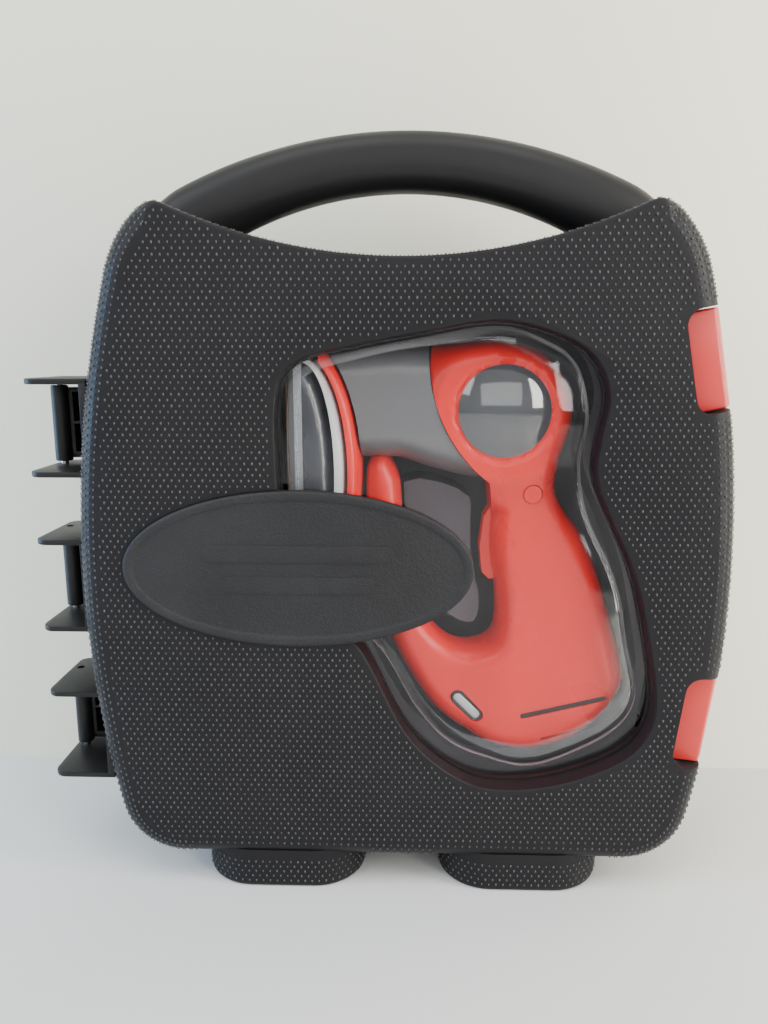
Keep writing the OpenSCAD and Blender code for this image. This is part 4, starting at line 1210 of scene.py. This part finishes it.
def slotGrooves():
    # ends, width, depth of the cut and of the dark web in it
    return [((66, 90), (110, 101), 3.0, -18.6, -20.2), ((77, 76.5), (104, 84), 1.7, -12.0, -14.6),
            ((82, 72.6), (99, 77.2), 1.2, -9.0, -11.6)]


def capsuleRing(a, b, r, n=10):
    t = bearing(np.array(b) - np.array(a))
    return arcPoints(b[0], b[1], r, t - 90, t + 90, n) + arcPoints(a[0], a[1], r, t + 90, t + 270, n)


lensShape = {"ends": ((30.6, 98.6), (40.4, 88.8)), "radius": 3.8, "front": -16.8, "back": -14.3}
buttonShape = {"at": (67, 214), "radius": 5.0, "front": -22.6, "back": -15.6}


def indicatorLens():
    # a domed silver capsule in a dark rim
    s = lensShape
    rings = []
    for shrink, y in ((0.0, s["back"]), (0.0, s["front"] + 0.9), (0.25, s["front"] + 0.45), (0.8, s["front"] + 0.15),
                      (1.6, s["front"] + 0.03), (2.3, s["front"])):
        rings.append([(x, y, z) for x, z in capsuleRing(*s["ends"], s["radius"] - 1.05 - shrink)])
    lens = ringSolid("lensGlass", rings, lensSilver, 60)
    rim = [[(x, y, z) for x, z in capsuleRing(*s["ends"], r)]
           for r, y in ((3.8, s["back"]), (3.8, s["front"] + 0.5), (3.5, s["front"] + 0.2), (2.8, s["front"] + 0.35))]
    piece = joinPieces("lens_capsule", [ringSolid("rim", rim, darkPlastic, 40), lens])
    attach(piece, "case_base")
    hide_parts("indicator_lens")


def lockButton():
    b = buttonShape
    steps = [(b["radius"], b["back"]), (b["radius"], b["front"] + 0.7), (b["radius"] - 0.25, b["front"] + 0.3),
             (b["radius"] - 0.9, b["front"] + 0.05), (b["radius"] - 1.8, b["front"]), (1.5, b["front"] + 0.25)]
    piece = ringSolid("lock_pad", discRings(b["at"], steps), toolRed, 50)
    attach(piece, "lock_button")
    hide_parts("lock_button")


def gripBody():
    grip, loop, seam = gripOutline()
    crown = openCurve([tuple(grip[-1]), (-18.4, 230), (-13.4, 234.4), (-8.2, 232.6), tuple(loop[0])], 6)
    outline = np.vstack([grip, crown[1:-1], loop, seam[:-1]])
    outline = evenly(outline, 1.6)
    free = [grip, crown, loop]
    front = liftedSolid("grip_front_moulding", outline, free, -1, gripHeight, toolRed)
    inserts = []
    for a, b, width, deep, shown in slotGrooves():
        # a cut through the skin with a dark web a little below it
        ring = capsuleRing(a, b, width / 2)
        carve(front, ringSolid("slot", [[(x, y, z) for x, z in ring] for y in (-30.0, deep)]), degrees=40)
        web = capsuleRing(a, b, width / 2 - 0.06)
        inserts.append(ringSolid("slotWeb", [[(x, y, z) for x, z in web] for y in (deep - 0.02, shown)], slotDark))
    # seats of the indicator lens and of the lock button
    front = joinPieces("grip_front_moulding", [front] + inserts)
    seat = capsuleRing(*lensShape["ends"], lensShape["radius"] + 0.35)
    carve(front, ringSolid("lensSeat", [[(x, y, z) for x, z in seat] for y in (-30.0, -14.2)]), degrees=40)
    carve(front, ringSolid("buttonSeat", discRings(buttonShape["at"], [(5.3, -40.0), (5.3, -12.8)])), degrees=40)
    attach(front, "case_base")
    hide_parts("grip_shell_front")
    rear = liftedSolid("grip_rear_moulding", outline, free, 1, gripHeight, toolRed)
    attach(rear, "case_base")
    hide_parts("grip_shell_rear")


def sideDome(name, side, node):
    s = toolShape
    r, h = s["domeRadius"], s["domeHeight"]
    ball = (r * r + h * h) / (2 * h)
    top = s["ring"] + h
    rim = [(r - 1.0, side * (s["ring"] - 3.0)), (r, side * (s["ring"] - 3.0)), (r, side * (s["ring"] - 0.2))]
    cap = []
    for k in range(15):
        q = r * (1 - k / 14.4)
        cap.append((q, side * (top - ball + math.sqrt(ball * ball - q * q))))
    piece = ringSolid(name, discRings(s["ringAt"], rim + cap, 72), domeGloss, 30)
    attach(piece, "case_base")
    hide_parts(node)


def ellipseArc(a, b, low, high, n):
    c = toolShape["headAt"]
    return [(c[0] + a * math.cos(math.radians(t)), c[1] + b * math.sin(math.radians(t)))
            for t in np.linspace(low, high, n)]


def housingHalf(name, side, node):
    low = math.degrees(math.asin((231.6 - 225) / 67))
    high = math.degrees(math.asin((288 - 225) / 67))
    collarEdge = ellipseArc(29.2, 67.2, low, high, 26)
    top = [(-36, 289), (-18, 290.4), (0, 291), (12.6, 290)]
    seam = [tuple(p) for p in seamArc(0.4)]
    bottom = [(30, 222), (12, 226.5), (-3, 231.6)]
    outline = evenly(np.array(collarEdge + top + seam + bottom, float), 1.8)
    free = [np.array([collarEdge[-1]] + top, float), np.array([seam[-1]] + bottom + [collarEdge[0]], float)]

    def height(flat, edge):
        return 24.0 * (0.1 + 0.9 * roundOff(edge, 15.0, 2.2))
    piece = liftedSolid(name, outline, free, side, height, housingPlastic, spacing=2.6)
    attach(piece, "case_base")
    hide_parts(node)


def headRing(name, a, b, innerA, innerB, depth, left, round_, finish, node):
    # one of the arcs of the head, front and back halves as one piece
    start = math.degrees(math.acos(min(1.0, left / a)))
    startIn = math.degrees(math.acos(min(1.0, left / innerA))) if left < innerA else 0
    outerLine = ellipseArc(a, b, -start, start, 60)
    innerLine = ellipseArc(innerA, innerB, -startIn, startIn, 60)[::-1]
    outline = evenly(np.array(outerLine + innerLine, float), 1.8)
    free = [np.array(outerLine, float)]

    def height(flat, edge):
        return depth * (0.25 + 0.75 * roundOff(edge, round_, 2.2))
    parts = [liftedSolid(name + str(s), outline, free, s, height, finish, 0.0, roundInsets[:5]) for s in (-1, 1)]
    piece = joinPieces(name, parts)
    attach(piece, "case_base")
    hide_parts(node)


def headHalf(name, side, node):
    a, b = 15.5, 56.0
    outline = evenly(np.array(ellipseArc(a, b, -90, 90, 60), float), 1.8)
    free = [np.array(ellipseArc(a, b, -90, 90, 60), float)]

    def height(flat, edge):
        return 32.0 * (0.3 + 0.7 * roundOff(edge, 9.0, 2.4))
    piece = liftedSolid(name, outline, free, side, height, headPlastic, insets=roundInsets[:5])
    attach(piece, "case_base")
    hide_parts(node)


gripBody()
indicatorLens()
lockButton()
sideDome("front_cap", -1, "side_dome_front")
sideDome("rear_cap", 1, "side_dome_rear")
housingHalf("housing_front_moulding", -1, "motor_housing_front")
housingHalf("housing_rear_moulding", 1, "motor_housing_rear")
headRing("collar_arc", 29.0, 67.0, 22.2, 60.2, 28.0, 8.0, 5.0, toolRed, "head_collar")
headRing("trim_arc", 22.0, 60.0, 15.6, 56.1, 30.0, 0.0, 4.0, bandPlastic, "trim_band")
headHalf("head_front_moulding", -1, "head_shell_front")
headHalf("head_rear_moulding", 1, "head_shell_rear")
print("tool mouldings done")


# finishes of the CAD nodes that show as they are

nodeFinishes = {
    "tool_tray": trayPlastic, "tray_screws": brightSteel, "window_retainer": darkPlastic, "hinge_pins": brightSteel,
    "latch_pins": brightSteel, "platen": castZinc, "platen_pad": padFoam, "abrasive_sheet": sandingGrit,
    "trigger": toolRed, "trigger_pin": brightSteel, "trigger_spring": brightSteel, "switch_block": switchBlue,
    "battery_cells": cellWrap, "charge_socket": darkPlastic,
    "body_screws": brightSteel, "motor_can": brightSteel, "motor_bearings": bearingBronze,
    "motor_rotor": copperWinding,
    "cooling_fan": darkPlastic, "drive_pinion": turnedSteel, "gearbox_plate": castZinc, "output_gear": turnedSteel,
    "output_shaft": turnedSteel, "output_bearings": bearingBronze, "eccentric_weight": castZinc,
    "eccentric_bearing": turnedSteel,
}
for node, finish in nodeFinishes.items():
    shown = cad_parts[node]
    shown.data.materials.clear()
    shown.data.materials.append(finish)
left = sorted(n for n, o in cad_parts.items() if not o.hide_render and n not in nodeFinishes)
print("CAD nodes with their own finish:", len(nodeFinishes), "without:", left)


# stage, light and camera

stageColours = {"floor": (0.58, 0.585, 0.575), "wall": (0.72, 0.705, 0.60)}


def stageFinish(name, colour, seeThroughBack):
    material, tree, shader, place = startMaterial(name)
    tone = addNoise(tree, place, 3.0, 3.0, 0.5)
    patches = addMix(tree, tone, tuple(c * 0.96 for c in colour), tuple(c * 1.03 for c in colour))
    tree.links.new(patches, shader.inputs["Base Color"])
    shader.inputs["Roughness"].default_value = 0.75
    shader.inputs["Specular IOR Level"].default_value = 0.15
    addBump(tree, shader, addNoise(tree, place, 900.0), 0.0001, 0.4)
    if seeThroughBack:
        # the wall's back is open, so the case can be looked at from behind
        geometry = tree.nodes.new("ShaderNodeNewGeometry")
        clear, mix = tree.nodes.new("ShaderNodeBsdfTransparent"), tree.nodes.new("ShaderNodeMixShader")
        tree.links.new(geometry.outputs["Backfacing"], mix.inputs[0])
        tree.links.new(shader.outputs[0], mix.inputs[1])
        tree.links.new(clear.outputs[0], mix.inputs[2])
        tree.links.new(mix.outputs[0], tree.nodes["Material Output"].inputs["Surface"])
    return material


def stagePlane(name, corners, finish):
    mesh = bpy.data.meshes.new(name)
    mesh.from_pydata(corners, [], [(0, 1, 2, 3)])
    piece = linkPiece(name, mesh, finish)


wallY = cadBox[1].y + 0.04
stagePlane("floor", [(-4, -4, 0), (4, -4, 0), (4, 4, 0), (-4, 4, 0)],
           stageFinish("paleFloor", stageColours["floor"], False))
stagePlane("wall", [(-4, wallY, 0), (4, wallY, 0), (4, wallY, 4), (-4, wallY, 4)],
           stageFinish("paleWall", stageColours["wall"], True))


def softLight(name, place, target, size, power, colour=(1, 1, 1)):
    data = bpy.data.lights.new(name, "AREA")
    data.shape = "RECTANGLE"
    data.size, data.size_y = size
    data.energy = power
    data.color = colour
    light = bpy.data.objects.new(name, data)
    light.location = place
    light.rotation_euler = (Vector(target) - Vector(place)).to_track_quat("-Z", "Y").to_euler()
    scene.collection.objects.link(light)


middle = (0.0, 0.0, 0.19)
softLight("skyLeft", (-1.6, -1.2, 1.5), middle, (1.4, 1.4), 34, (0.95, 0.98, 1.0))
softLight("windowRight", (1.25, -1.2, 0.75), (0.1, 0.05, 0.2), (0.4, 1.0), 17, (1.0, 0.97, 0.92))
softLight("roomTop", (0.0, -0.9, 2.2), middle, (2.0, 1.2), 34, (1.0, 1.0, 1.0))
softLight("blueSide", (-0.95, -0.12, 0.25), (-0.15, 0.0, 0.19), (0.4, 0.7), 10, (0.36, 0.62, 1.0))
softLight("wallRight", (0.80, -0.30, 0.40), (0.30, 0.09, 0.22), (0.2, 0.8), 11, (1.0, 0.96, 0.86))
softLight("roomFront", (0.1, -2.4, 1.0), middle, (2.2, 1.2), 18, (1.0, 0.99, 0.97))

world = bpy.data.worlds.new("paleRoom")
scene.world = world
world.use_nodes = True
world.node_tree.nodes["Background"].inputs["Color"].default_value = (0.80, 0.82, 0.82, 1)
world.node_tree.nodes["Background"].inputs["Strength"].default_value = 0.75

cameraShape = {"lens": 28.0, "place": (0.0155, -0.431, 0.2853), "pitch": 78.8, "yaw": 1.78}
cameraData = bpy.data.cameras.new("camera")
cameraData.lens = cameraShape["lens"]
cameraData.sensor_width = 36.0
cameraData.clip_start = 0.01
camera = bpy.data.objects.new("camera", cameraData)
camera.location = cameraShape["place"]
camera.rotation_euler = (math.radians(cameraShape["pitch"]), 0, math.radians(cameraShape["yaw"]))
scene.collection.objects.link(camera)
scene.camera = camera
print("stage, light and camera done")
